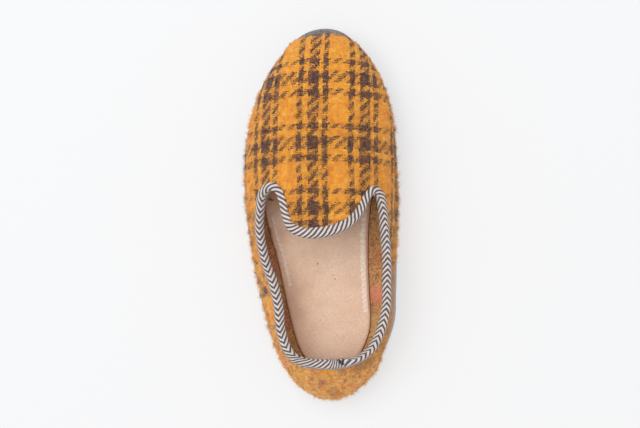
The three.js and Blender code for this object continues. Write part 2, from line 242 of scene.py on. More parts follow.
def spring_at(y):
    """How far the toe is bent up off the floor at y."""
    along = np.maximum(y - SPRING_START_Y, 0) / (SOLE.toe - SPRING_START_Y)
    return TOE_SPRING * along**2


def sprung(points):
    """The points bent up with the toe."""
    lift = np.zeros_like(points)
    lift[..., 2] = spring_at(points[..., 1])
    return points + lift


def last_level(x, y, z):
    """Below 1 inside the last and above 1 outside it."""
    inside = (y < LAST.toe) & (y > LAST.heel)
    held = np.clip(y, LAST.heel + 1e-6, LAST.toe - 1e-6)
    ridge = LAST.at("ridge", held)
    left = x < ridge
    side = np.where(left, LAST.at("left", held), LAST.at("right", held))
    power = np.where(left, SQUARENESS_LEFT, SQUARENESS_RIGHT)
    across = np.abs(x - ridge) / np.abs(side - ridge)
    up = np.abs(z - WIDEST_Z) / (LAST.at("top", held) - WIDEST_Z)
    return np.where(inside, across**power + up**power, np.inf)


def ray_of(u, v):
    """A place (u, v) on the last as a ray: its centre, its heading in plan and its rise."""
    centre_y = np.clip(v, HEEL_CENTRE_Y, TOE_CENTRE_Y)
    reach = np.hypot(u, v - centre_y)
    safe = np.maximum(reach, 1e-9)
    centre = np.stack([LAST.at("ridge", centre_y), centre_y, np.full_like(centre_y, WIDEST_Z)], -1)
    heading = np.where(reach[..., None] > 1e-9, np.stack([u / safe, (v - centre_y) / safe], -1), 0)
    return centre, heading, np.radians(WIDEST_REACH - reach)


def last_point(u, v):
    """The last's surface at (u, v)."""
    centre, heading, rise = ray_of(u, v)
    direction = np.concatenate([heading * np.cos(rise)[..., None], np.sin(rise)[..., None]], -1)
    inside = np.zeros_like(u)
    outside = np.full_like(u, FARTHEST)
    for _ in range(SOLVER_STEPS):
        middle = (inside + outside) / 2
        p = centre + direction * middle[..., None]
        within = last_level(p[..., 0], p[..., 1], p[..., 2]) < 1
        inside = np.where(within, middle, inside)
        outside = np.where(within, outside, middle)
    return centre + direction * inside[..., None]


def last_normal(u, v):
    """The way out of the last at (u, v), of any length."""
    across = last_point(u + LAST_STEP, v) - last_point(u - LAST_STEP, v)
    along = last_point(u, v + LAST_STEP) - last_point(u, v - LAST_STEP)
    return np.cross(across, along)


def lean_at(u, v, z):
    """How far the wall slouches inwards there."""
    _, heading, rise = ray_of(u, v)
    held = np.clip(v, LAST.heel, LAST.toe)
    side = np.where(u < 0, LAST.at("lean_left", held), LAST.at("lean_right", held))
    back = np.where(v < HEEL_CENTRE_Y, HEEL_LEAN * np.abs(heading[..., 1]) ** HEEL_LEAN_POWER, 0)
    share = smooth(z, LEAN_FROM, LEAN_HEIGHT) * smooth(np.cos(rise), 0, LEAN_FADE)
    return np.stack([-heading[..., 0] * side * share, back * share, np.zeros_like(share)], -1)


def upper_point(u, v, offset=0.0):
    """A point of the upper's outer face, or out of it by offset."""
    u, v = np.asarray(u, float), np.asarray(v, float)
    base = last_point(u, v)
    moved = base + unit(last_normal(u, v)) * np.asarray(offset)[..., None]
    return sprung(moved + lean_at(u, v, base[..., 2]))


def collar_places():
    """(u, v) of the collar's rows, found by stepping down from the ridge."""
    kinds = np.array([row[0] for row in COLLAR_ROWS])
    first, second = np.array([row[1:] for row in COLLAR_ROWS], float).T
    plan, heel = kinds == "plan", kinds == "heel"
    sign = np.where(plan & (first < LAST.at("ridge", second)) | (kinds == "left"), -1.0, 1.0)
    bearing = np.radians(first)
    way_u = np.where(heel, np.cos(bearing), sign)
    way_v = np.where(heel, np.sin(bearing), 0)
    start_v = np.where(plan, second, np.where(heel, HEEL_CENTRE_Y, first))
    low, high = np.zeros(len(kinds)), np.full(len(kinds), LOWEST_REACH)
    for _ in range(SOLVER_STEPS):
        reach = (low + high) / 2
        u, v = way_u * reach, start_v + way_v * reach
        short_in_plan = sign * (upper_point(u, v)[:, 0] - first) < 0
        short = np.where(plan, short_in_plan, last_point(u, v)[:, 2] > second)
        low, high = np.where(short, reach, low), np.where(short, high, reach)
    return np.stack([u, v], -1)


def lengths_along(points):
    """How far along a row of points each one is."""
    return np.concatenate([[0], np.cumsum(np.linalg.norm(np.diff(points, axis=0), axis=1))])


def evenly_spaced(closed, steps):
    """Evenly spaced points along a row that ends where it starts."""
    length = lengths_along(closed)
    spots = np.linspace(0, length[-1], steps, endpoint=False)
    return np.stack([np.interp(spots, length, closed[:, k]) for k in (0, 1)], -1)


def closed_curve(points, steps):
    """Evenly spaced points on a closed centripetal curve through points."""
    fine = []
    count = len(points)
    for i in range(count):
        p0, p1, p2, p3 = (points[(i + k) % count] for k in (-1, 0, 1, 2))
        d0, d1, d2 = (math.sqrt(np.linalg.norm(b - a)) for a, b in ((p0, p1), (p1, p2), (p2, p3)))
        start = ((p1 - p0) / d0 - (p2 - p0) / (d0 + d1) + (p2 - p1) / d1) * d1
        end = ((p2 - p1) / d1 - (p3 - p1) / (d1 + d2) + (p3 - p2) / d2) * d1
        t = np.linspace(0, 1, CURVE_STEPS, endpoint=False)[:, None]
        a, b = 2 * p1 - 2 * p2 + start + end, -3 * p1 + 3 * p2 - 2 * start - end
        fine.append(a * t**3 + b * t**2 + start * t + p1)
    return evenly_spaced(np.concatenate(fine + [points[:1]]), steps)


COLLAR_LOOP = closed_curve(collar_places(), COLLAR_STEPS)


def collar_steps():
    """The way down into the wall at each step of the collar, as a step in (u, v) of 1 mm."""
    u, v = COLLAR_LOOP.T
    edge = upper_point(u, v)
    along = unit(np.roll(edge, -1, 0) - np.roll(edge, 1, 0))
    per_u = (upper_point(u + UV_STEP, v) - upper_point(u - UV_STEP, v)) / (2 * UV_STEP)
    per_v = (upper_point(u, v + UV_STEP) - upper_point(u, v - UV_STEP)) / (2 * UV_STEP)
    down = unit(np.cross(along, unit(np.cross(per_u, per_v))))
    uu, uv, vv = (per_u * per_u).sum(-1), (per_u * per_v).sum(-1), (per_v * per_v).sum(-1)
    du, dv = (per_u * down).sum(-1), (per_v * down).sum(-1)
    size = uu * vv - uv * uv
    return np.stack([(du * vv - dv * uv) / size, (dv * uu - du * uv) / size], -1)


COLLAR_DOWN = collar_steps()


def collar_point(out, down):
    """The points all round the collar that lie out from the wall's face and down from its edge."""
    place = COLLAR_LOOP + COLLAR_DOWN * np.reshape(down, (-1, 1))
    return upper_point(place[:, 0], place[:, 1], out)


def in_mouth(u, v):
    """True where (u, v) lies inside the collar's loop."""
    inside = np.zeros(u.shape, bool)
    ends = np.roll(COLLAR_LOOP, -1, 0)
    for (u1, v1), (u2, v2) in zip(COLLAR_LOOP, ends):
        if v1 == v2:
            continue
        crosses = (v1 > v) != (v2 > v)
        inside ^= crosses & (u < (u2 - u1) * (v - v1) / (v2 - v1) + u1)
    return inside


# Making meshes.
def new_piece(name, points, faces, material, cloth=None):
    """A mesh object from points in millimetres, with its cloth coordinates for each face corner."""
    mesh = bpy.data.meshes.new(name)
    mesh.from_pydata((np.asarray(points) * MM).tolist(), [], [tuple(face) for face in faces])
    mesh.update()
    mesh.shade_smooth()
    if cloth is not None:
        layer = mesh.uv_layers.new(name="cloth")
        layer.data.foreach_set("uv", np.asarray(cloth, np.float32).ravel())
    piece = bpy.data.objects.new(name, mesh)
    bpy.context.scene.collection.objects.link(piece)
    mesh.materials.append(material)
    return piece


def tube_faces(rings, steps, base=0):
    """The faces of a closed solid through rings of one length, with one face over each end."""
    faces = []
    last = base + (rings - 1) * steps
    for start in range(base, last, steps):
        for i in range(steps):
            j = (i + 1) % steps
            faces.append((start + i, start + j, start + steps + j, start + steps + i))
    faces.append(tuple(reversed(range(base, base + steps))))
    faces.append(tuple(range(last, last + steps)))
    return faces


def swept(name, sections, material):
    """A closed solid through sections of one ring of points each."""
    count, steps = sections.shape[:2]
    return new_piece(name, sections.reshape(-1, 3), tube_faces(count, steps), material)


# The upper's skins.
def wall_stations():
    """Each station round the wall: its way out in u and in v, and the v that it starts from."""
    stations = []
    for i in range(SIDE_STEPS):
        stations.append((1.0, 0.0, HEEL_CENTRE_Y + (TOE_CENTRE_Y - HEEL_CENTRE_Y) * i / SIDE_STEPS))
    for i in range(TOE_STEPS):
        turn = math.pi * i / TOE_STEPS
        stations.append((math.cos(turn), math.sin(turn), TOE_CENTRE_Y))
    for i in range(SIDE_STEPS):
        stations.append((-1.0, 0.0, TOE_CENTRE_Y - (TOE_CENTRE_Y - HEEL_CENTRE_Y) * i / SIDE_STEPS))
    for i in range(HEEL_STEPS):
        turn = math.pi + math.pi * i / HEEL_STEPS
        stations.append((math.cos(turn), math.sin(turn), HEEL_CENTRE_Y))
    return np.array(stations)


STATIONS = wall_stations()
SEAM_BEARING = 300
SEAM_STATION = 2 * SIDE_STEPS + TOE_STEPS + round(HEEL_STEPS * (SEAM_BEARING - 180) / 180)


def station_place(reach):
    """(u, v) of every station at one reach."""
    return STATIONS[:, 0] * reach, STATIONS[:, 2] + STATIONS[:, 1] * reach


def feather_ring(widest, outward, turn, offset):
    """The wall's ring as it tucks in under the widest line."""
    shift = (FEATHER_RADIUS + offset) * math.cos(turn) - FEATHER_RADIUS
    ring = widest + outward * shift
    ring[:, 2] = WIDEST_Z - (WIDEST_ABOVE_SOLE + offset) * math.sin(turn)
    return sprung(ring)


def upper_grid(offset, relief=None):
    """Rings of points from the feather up to the ridge, and (u, v) for each."""
    u, v = station_place(WIDEST_REACH)
    widest = last_point(u, v)
    outward = unit(last_normal(u, v) * np.array([1, 1, 0]))
    inner_edge = INSOLE.fine_edge()
    nearest = np.linalg.norm(widest[:, None, :2] - inner_edge[None], axis=-1).argmin(1)
    flange = np.column_stack([inner_edge[nearest], np.full(len(u), FEATHER_Z - offset)]) + outward * GAP
    rings, places = [sprung(flange)], [np.stack([u, v], -1)]
    for row in range(FEATHER_ROWS, 0, -1):
        turn = math.pi / 2 * row / FEATHER_ROWS
        rings.append(feather_ring(widest, outward, turn, offset))
        places.append(np.stack([u, v], -1))
    for row in range(WALL_ROWS + 1):
        u, v = station_place(WIDEST_REACH * (1 - row / WALL_ROWS))
        extra = relief(u, v) if relief else 0
        rings.append(upper_point(u, v, offset + np.zeros_like(u) + extra))
        places.append(np.stack([u, v], -1))
    return np.array(rings), np.array(places)


def cloth_grid(rings):
    """The cloth's own millimetres at each grid point: across from the ridge and along to the toe. They are
    others on the far side of the back seam, so the second grid is for the faces that end at it."""
    steps = np.linalg.norm(np.diff(rings[::-1], axis=0), axis=-1)
    length = np.concatenate([np.zeros((1, rings.shape[1])), np.cumsum(steps, 0)])[::-1]
    side = slice(0, SIDE_STEPS + 1)
    along = lengths_along(rings[-1, side])
    along = along - along[-1] + TOE_CENTRE_Y
    base = np.interp(STATIONS[:, 2], STATIONS[side, 2], along)
    station = np.arange(len(STATIONS))
    heel = station > SEAM_STATION - round(HEEL_STEPS * (SEAM_BEARING - 180) / 180)
    bearing = np.mod(np.arctan2(STATIONS[:, 1], STATIONS[:, 0]), 2 * math.pi)
    left = station < SEAM_STATION
    turn = np.where(left, bearing - math.pi, 2 * math.pi - bearing)
    across = np.where(heel, np.where(left, -1.0, 1.0), STATIONS[:, 0]) * length
    lengthwise = np.where(heel, base - HEEL_ROUND * turn, base + STATIONS[:, 1] * length)
    lengthwise = lengthwise + BAND_SAG * smooth(np.abs(across), BAND_SAG_FROM, BAND_SAG_TO)
    start = np.stack([across, lengthwise], -1)
    end = start.copy()
    start[:, SEAM_STATION, 0] = np.abs(across[:, SEAM_STATION])
    end[:, SEAM_STATION, 0] = -np.abs(across[:, SEAM_STATION])
    left_turn = bearing[SEAM_STATION] - math.pi
    end[:, SEAM_STATION, 1] += HEEL_ROUND * (turn[SEAM_STATION] - left_turn)
    return start, end


class Skin:
    """One skin of the upper: its grid, its cloth coordinates and its faces outside the mouth."""

    def __init__(self, offset, relief):
        self.rings, places = upper_grid(offset, relief)
        self.start, self.end = cloth_grid(self.rings)
        rows, steps = self.rings.shape[:2]
        mouth = in_mouth(places[..., 0].ravel(), places[..., 1].ravel()).reshape(rows, steps)
        open_face = mouth | np.roll(mouth, -1, 1)
        open_face = open_face[:-1] | open_face[1:]
        self.quads = [(r, i) for r in range(rows - 1) for i in range(steps) if not open_face[r, i]]
        used = np.zeros((rows, steps), bool)
        for r, i in self.quads:
            used[r : r + 2, [i, (i + 1) % steps]] = True
        flat = np.round(self.rings[used], 4)
        _, first, names = np.unique(flat, axis=0, return_index=True, return_inverse=True)
        self.first = np.flatnonzero(used)[first]
        self.names = np.zeros((rows, steps), int)
        self.names[used] = names.ravel()
        self.points = self.rings.reshape(-1, 3)[self.first]

    def corners(self, r, i):
        """A quad's corners as grid places, each with its cloth coordinates."""
        j = (i + 1) % self.rings.shape[1]
        return (
            ((r, i), self.start[r, i]),
            ((r, j), self.end[r, j]),
            ((r + 1, j), self.end[r + 1, j]),
            ((r + 1, i), self.start[r + 1, i]),
        )


def shell(name, outer, inner_offset, inner_relief, material):
    """A closed shell from an outer skin to an inner offset, without what lies in the mouth."""
    inner_rings, _ = upper_grid(inner_offset, inner_relief)
    inner_points = inner_rings.reshape(-1, 3)[outer.first]
    count = len(outer.first)
    faces, cloth, edges = [], [], {}
    for r, i in outer.quads:
        corners = [(int(outer.names[place]), uv) for place, uv in outer.corners(r, i)]
        corners = [c for k, c in enumerate(corners) if c[0] != corners[k - 1][0]]
        if len(corners) < 3:
            continue
        faces.append([c[0] for c in corners])
        cloth.extend(c[1] for c in corners)
        faces.append([c[0] + count for c in reversed(corners)])
        cloth.extend(c[1] for c in reversed(corners))
        for k, (a, uv_a) in enumerate(corners):
            b, uv_b = corners[(k + 1) % len(corners)]
            if (b, a) in edges:
                del edges[(b, a)]
            else:
                edges[(a, b)] = (uv_a, uv_b)
    for (a, b), (uv_a, uv_b) in edges.items():
        faces.append([b, a, a + count, b + count])
        cloth.extend((uv_b, uv_a, uv_a, uv_b))
    return new_piece(name, np.concatenate([outer.points, inner_points]), faces, material, cloth)


def place_strokes(u, v, strokes):
    """Soft troughs and ridges drawn on the upper as (from, to, half width, height) in its places."""
    total = np.zeros_like(u)
    for (u1, v1), (u2, v2), width, height in strokes:
        run = np.array([u2 - u1, v2 - v1])
        share = np.clip(((u - u1) * run[0] + (v - v1) * run[1]) / (run @ run), 0, 1)
        away = np.hypot(u - u1 - share * run[0], v - v1 - share * run[1])
        total += height * np.exp(-((away / width) ** 2))
    return total


# Fibres: how they sway, curl, twist and bend, how deep they root, where towards the toe they get shorter,
# and how far their roots' cloth coordinates stray, with the share of each distance.
SHORTEST_SHARE = 0.6
LUMP_SWAY = 0.7
CURL = 0.35
TWIST = 0.5
ROOT_DEPTH = 0.15
BEND_SHARE = 0.5
MIDDLE_WIDTH = 0.8
TIP_RISE = 0.9
TIP_LEAN = 0.25
TIP_SHARE = 0.95
TOE_SHORTER = 0.6
TOE_SHORTER_FROM = 60
TOE_SHORTER_TO = 105
YARN_MIXING = (0.5, 1.8)
YARN_MIXING_SHARES = (0.84, 0.16)

# A fibre's face corners: those of its quad and of its tip.
FIBRE_CORNERS = 4 + 3


def fibres(name, skin, count, lengths, rise, width, material, rng, lumps=None):
    """Short curved ribbons of wool rooted in the skin, each in the colour of its own yarn."""
    r, i = np.array(skin.quads).T
    j = (i + 1) % skin.rings.shape[1]
    p00, p01, p11, p10 = skin.rings[r, i], skin.rings[r, j], skin.rings[r + 1, j], skin.rings[r + 1, i]
    spread = np.cross(p11 - p00, p10 - p01)
    area = np.linalg.norm(spread, axis=1) / 2
    middle = (p00 + p11) / 2
    area = np.where(near_collar(middle), 0, area)
    if lumps is None:
        pick = rng.choice(len(r), count, p=area / area.sum())
        a, b = rng.random((2, count, 1))
        sway = rng.normal(0, 1, (count, 3))
    else:
        centres = rng.choice(len(r), lumps, p=area / area.sum())
        group = rng.integers(0, lumps, count)
        pick = centres[group]
        a, b = rng.random((2, count, 1))
        sway = rng.normal(0, 1, (lumps, 3))[group] + rng.normal(0, LUMP_SWAY, (count, 3))
    weights = [(1 - a) * (1 - b), a * (1 - b), a * b, (1 - a) * b]
    quads = [g[pick] for g in (p00, p01, p11, p10)]
    root = sum(w * q for w, q in zip(weights, quads))
    cloths = (skin.start[r, i], skin.end[r, j], skin.end[r + 1, j], skin.start[r + 1, i])
    astray = rng.choice(YARN_MIXING, (count, 1), p=YARN_MIXING_SHARES)
    cloth = sum(w * c[pick] for w, c in zip(weights, cloths)) + rng.normal(0, 1, (count, 2)) * astray
    normal = unit(spread[pick])
    tangent = unit(sway - normal * (sway * normal).sum(1, keepdims=True))
    lift = np.radians(rng.uniform(*rise, (count, 1)))
    length = rng.uniform(*lengths, (count, 1)) * rng.uniform(SHORTEST_SHARE, 1, (count, 1))
    length *= 1 - TOE_SHORTER * smooth(root[:, 1:2], TOE_SHORTER_FROM, TOE_SHORTER_TO)
    out = unit(tangent * np.cos(lift) + normal * np.sin(lift))
    curl = unit(np.cross(normal, tangent)) * rng.normal(0, CURL, (count, 1))
    across = unit(np.cross(normal, out) + normal * rng.normal(0, TWIST, (count, 1))) * width / 2
    middle = root + (out + curl * BEND_SHARE) * length * BEND_SHARE
    tip = root + (out * TIP_RISE + tangent * TIP_LEAN + curl) * length * TIP_SHARE
    root = root - normal * ROOT_DEPTH
    thin = across * MIDDLE_WIDTH
    points = np.stack([root - across, root + across, middle + thin, middle - thin, tip], 1)
    base = np.arange(count)[:, None] * points.shape[1]
    quad = (base + np.array([0, 1, 2, 3])).tolist()
    tri = (base + np.array([3, 2, 4])).tolist()
    faces = [f for pair in zip(quad, tri) for f in pair]
    cloth = np.repeat(cloth, FIBRE_CORNERS, axis=0)
    return new_piece(name, points.reshape(-1, 3), faces, material, cloth)


BALD_BAND = TAPE_COVER - 0.3
BALD_STRIDE = 6


def near_collar(points):
    """True within the band that the collar's tape covers."""
    nearest = np.full(len(points), np.inf)
    for spot in collar_point(0, 0)[::BALD_STRIDE]:
        nearest = np.minimum(nearest, np.linalg.norm(points - spot, axis=1))
    return nearest < BALD_BAND


# Materials, with their roughness and sheen.
FLUFF_ROUGHNESS = 0.95
WOOL_SHEEN = 0.2
NAP_SHEEN = 0.3
FELT_SHEEN = 0.15
TAPE_ROUGHNESS = 0.8
TAPE_SHEEN = 0.1
CANVAS_ROUGHNESS = 0.85
RUBBER_ROUGHNESS = 0.75
THREAD_ROUGHNESS = 0.8
FLOOR_ROUGHNESS = 0.9
SHEEN_ROUGHNESS = 0.6
SPECULAR = 0.2
HEIGHT_REACH = 1.5
PATCH_RAGGED = (5, 5, 0)
PATCH_RAGGED_SIZE = 3
PATCH_UPRIGHT = 0.5
PATCH_OUTSIDE = 1.3
PATCH_INSIDE = 0.6


def colour(red, green, blue):
    """A screen colour from 0 to 255 as the linear one that a shader takes."""
    return tuple(((c / 255 + 0.055) / 1.055) ** 2.4 for c in (red, green, blue)) + (1.0,)


def height_at(skin, x, y):
    """How high a skin is at a place in plan."""
    away = np.hypot(skin.points[:, 0] - x, skin.points[:, 1] - y)
    return float(skin.points[away < away.min() + HEIGHT_REACH, 2].max())


class Surface:
    """A material and short ways to add its nodes."""

    def __init__(self, name, roughness, sheen=0.0):
        self.material = bpy.data.materials.new(name)
        self.material.use_nodes = True
        self.tree = self.material.node_tree
        self.shader = self.tree.nodes["Principled BSDF"]
        self.shader.inputs["Roughness"].default_value = roughness
        self.shader.inputs["Sheen Weight"].default_value = sheen
        self.shader.inputs["Sheen Roughness"].default_value = SHEEN_ROUGHNESS
        self.shader.inputs["Specular IOR Level"].default_value = SPECULAR

    def coloured(self, shade, *layers):
        """The finished material, with its colour and its height layers."""
        self.feed(self.shader.inputs["Base Color"], shade)
        if layers:
            self.bump(*layers)
        return self.material

    def feed(self, socket, value):
        if isinstance(value, bpy.types.NodeSocket):
            self.tree.links.new(value, socket)
        else:
            socket.default_value = value

    def node(self, kind, **inputs):
        made = self.tree.nodes.new(kind)
        for name, value in inputs.items():
            self.feed(made.inputs[name], value)
        return made

    def math(self, operation, *values):
        made = self.tree.nodes.new("ShaderNodeMath")
        made.operation = operation
        for socket, value in zip(made.inputs, values):
            self.feed(socket, value)
        return made.outputs[0]

    def vector(self, operation, *values):
        made = self.tree.nodes.new("ShaderNodeVectorMath")
        made.operation = operation
        for socket, value in zip(made.inputs, values):
            self.feed(socket, value)
        return made.outputs[0]

    def cloth(self):
        made = self.tree.nodes.new("ShaderNodeUVMap")
        made.uv_map = "cloth"
        return made.outputs[0]

    def place(self):
        """The surface's place on the slipper in millimetres."""
        metres = self.tree.nodes.new("ShaderNodeTexCoord").outputs["Object"]
        return self.vector("MULTIPLY", metres, (1 / MM,) * 3)

    def scaled(self, value, share):
        return self.math("MULTIPLY", value, share)

    def noise(self, where, size, detail=2.0, roughness=0.5, output=0):
        """Noise of a size in millimetres: its value, or its colour as output 1."""
        settings = {"Vector": where, "Scale": 1 / size, "Detail": detail, "Roughness": roughness}
        return self.node("ShaderNodeTexNoise", **settings).outputs[output]

    def cloth_noise(self, shift, size, detail, roughness):
        """The value of noise over the cloth, set apart from other noises by a shift."""
        return self.noise(self.vector("ADD", self.cloth(), shift), size, detail, roughness)

    def shifted(self, where, size, amount, detail=2.0):
        """A place moved about by noise, by up to half of amount each way."""
        centred = self.vector("SUBTRACT", self.noise(where, size, detail, output=1), (0.5,) * 3)
        return self.vector("ADD", where, self.vector("MULTIPLY", centred, amount))

    def span(self, value, low, high, first, last):
        """A value from first to last as another goes from low to high, and held beyond."""
        made = self.node("ShaderNodeMapRange", Value=value)
        for index, number in enumerate((low, high, first, last)):
            made.inputs[index + 1].default_value = number
        return made.outputs[0]

    def ramp(self, value, stops, constant=False):
        made = self.node("ShaderNodeValToRGB", Fac=value)
        ramp = made.color_ramp
        ramp.interpolation = "CONSTANT" if constant else "LINEAR"
        while len(ramp.elements) < len(stops):
            ramp.elements.new(0.5)
        for element, (position, shade) in zip(ramp.elements, stops):
            element.position = position
            element.color = shade
        return made.outputs[0]

    def mix(self, share, first, second):
        made = self.tree.nodes.new("ShaderNodeMix")
        made.data_type = "RGBA"
        for index, value in ((0, share), (6, first), (7, second)):
            self.feed(made.inputs[index], value)
        return made.outputs[2]

    def patched(self, shade, patches, skin=None):
        """The shade with soft patches of other colours, as rows of x, y, half width, strength and colour. A
        patch on a skin stays near the skin's height, and others reach all the way down."""
        place = self.shifted(self.place(), PATCH_RAGGED_SIZE, PATCH_RAGGED, detail=4.0)
        upright = 0 if skin is None else PATCH_UPRIGHT
        scaled = self.vector("MULTIPLY", place, (1, 1, upright))
        for x, y, half_width, strength, patch in patches:
            height = 0 if skin is None else height_at(skin, x, y)
            away = self.tree.nodes.new("ShaderNodeVectorMath")
            away.operation = "DISTANCE"
            self.feed(away.inputs[0], scaled)
            self.feed(away.inputs[1], (x, y, height * upright))
            reach = half_width * PATCH_OUTSIDE, half_width * PATCH_INSIDE
            share = self.span(away.outputs[1], *reach, 0, strength)
            shade = self.mix(share, shade, patch)
        return shade

    def bump(self, *layers):
        """Height layers in millimetres over each other."""
        normal = None
        for height in layers:
            made = self.tree.nodes.new("ShaderNodeBump")
            made.inputs["Distance"].default_value = MM
            self.feed(made.inputs["Height"], height)
            if normal is not None:
                self.feed(made.inputs["Normal"], normal)
            normal = made.outputs[0]
        self.feed(self.shader.inputs["Normal"], normal)


GREY = {0: (0, 0, 0, 1), 1: (1, 1, 1, 1)}


def sett_stops(threads):
    """A sett, as (dark or not, yarns) in order, as the stops of a ramp over its repeat."""
    total = sum(count for _, count in threads)
    stops, passed = [], 0
    for dark, count in threads:
        stops.append((passed / total, GREY[dark]))
        passed += count
    return stops, total


WARP_SETT = ((1, 3), (0, 3), (1, 6), (0, 2), (1, 3), (0, 11))
WEFT_SETT = ((1, 3), (0, 4), (1, 7), (0, 3), (1, 4), (0, 15))
WARP_START = -18.0
WEFT_START = 61.6
WARP_YARN = 1.28
WEFT_YARN = 1.264
WARP_COVER = 0.9
WEFT_COVER = 0.7
TWILL = 6
YELLOW = (
    (0.36, colour(219, 129, 44)),
    (0.46, colour(236, 157, 36)),
    (0.53, colour(248, 170, 10)),
    (0.62, colour(250, 192, 82)),
)
AUBERGINE = (
    (0.36, colour(84, 42, 58)),
    (0.46, colour(58, 38, 42)),
    (0.53, colour(92, 53, 46)),
    (0.62, colour(142, 84, 46)),
)
NAP_YELLOW = (
    (0.36, colour(236, 148, 58)),
    (0.46, colour(248, 176, 52)),
    (0.53, colour(255, 186, 24)),
    (0.62, colour(255, 214, 130)),
)
NAP_AUBERGINE = (
    (0.36, colour(84, 42, 56)),
    (0.46, colour(64, 42, 44)),
    (0.53, colour(102, 59, 48)),
    (0.62, colour(170, 103, 60)),
)
# STRAW and PEACH are the worn yarn's pale tones. Round the heel they are also painted light on the steep
# heel wall.
STRAW = colour(255, 188, 92)
PEACH = colour(255, 220, 146)
ROSE = colour(232, 140, 86)
RUST = colour(160, 84, 66)
SHADE = colour(150, 86, 44)
GLINT = colour(255, 224, 150)

DRIFT = (3.0, 3.0, 0)
DRIFT_SIZE = 14
FELTING = (2.6, 2.6, 0)
FELTING_SIZE = 1.1

# The wool's noises: a shift that sets each apart, its size in millimetres, its detail and its roughness.
MOTTLE = ((0, 0, 0), 4, 6, 0.75)
HUE = ((31, 17, 0), 2.4, 5, 0.7)
WEAR = ((7, 53, 0), 9, 5, 0.65)
GRAIN = ((0, 0, 0), 0.9, 3, 0.6)
STRANDS = ((0, 0, 0), 0.5, 3, 0.5)
DRAWN_STRETCH = (0.8, 0.22, 1.0)
DRAWN_DETAIL = 4
DRAWN_ROUGHNESS = 0.65

# Spans: as a value goes from the first number to the second, a share goes from the third to the fourth.
SIDE_FADE = (52, 70, 0, 0.65)
SIDE_FADE_ALONG = (34, -6, 0, 1)
# The heel's rows here carry its worn yarn and its painted light on the steep heel wall.
HEEL_WEAR_AND_LIGHT = (-66, -100, 0, 1)
WORN_SPOTS = (0.44, 0.53, 0, 1)
HEEL_WORN_AND_LIT = 0.8
ROSE_SHARE = (0.5, 0.6, 0, 0.65)
PEACH_SHARE = (0.54, 0.42, 0, 0.72)
RUST_SHARE = (0.53, 0.57, 0, 0.72)
SHADE_SHARE = (0.52, 0.62, 0, 0.24)
GLINT_SHARE = (0.46, 0.36, 0, 0.25)
RIB_HEIGHT = 0.12
STRAND_HEIGHT = 0.6

# Stains and faded spots on the wool, with painted shade and a painted highlight among them.
WOOL_STAINS_AND_PAINTED_LIGHT = (
    # Painted shade below the tape on the heel's inner side, in the next two rows.
    (30, -104, 5, 0.6, colour(168, 112, 66)),
    (37, -101, 4, 0.55, colour(150, 96, 64)),
    (18, -108, 3, 0.5, colour(190, 116, 54)),
    # A painted highlight, then painted shade, at the heel's dimple, in the next two rows.
    (22, -116, 1.6, 0.7, colour(224, 186, 140)),
    (19.5, -114.5, 1.4, 0.6, colour(160, 112, 44)),
    (8, -107, 5, 0.7, colour(252, 180, 26)),
    (-2, -108, 3, 0.55, colour(246, 164, 90)),
    (-12, -110, 5, 0.5, colour(248, 190, 70)),
    (3, -116, 3, 0.65, colour(186, 106, 84)),
    (-4, -114, 2, 0.6, colour(190, 112, 80)),
    (11, -124, 4, 0.5, colour(180, 110, 76)),
    (26, -119, 3, 0.5, colour(255, 162, 96)),
    (44, -108, 2, 0.6, colour(130, 76, 74)),
    (-37, -53, 3, 0.85, colour(80, 48, 62)),
    (-46, -19, 4, 0.5, colour(140, 88, 60)),
    (-42, -47, 3, 0.5, colour(180, 104, 56)),
    (53, -21, 3, 0.7, colour(106, 66, 60)),
    (46, -34, 3, 0.5, colour(134, 88, 62)),
    (41, -90, 3, 0.75, colour(96, 60, 62)),
    (-24, -104, 5, 0.5, colour(232, 156, 112)),
    (-30, -92, 4, 0.4, colour(240, 164, 112)),
)


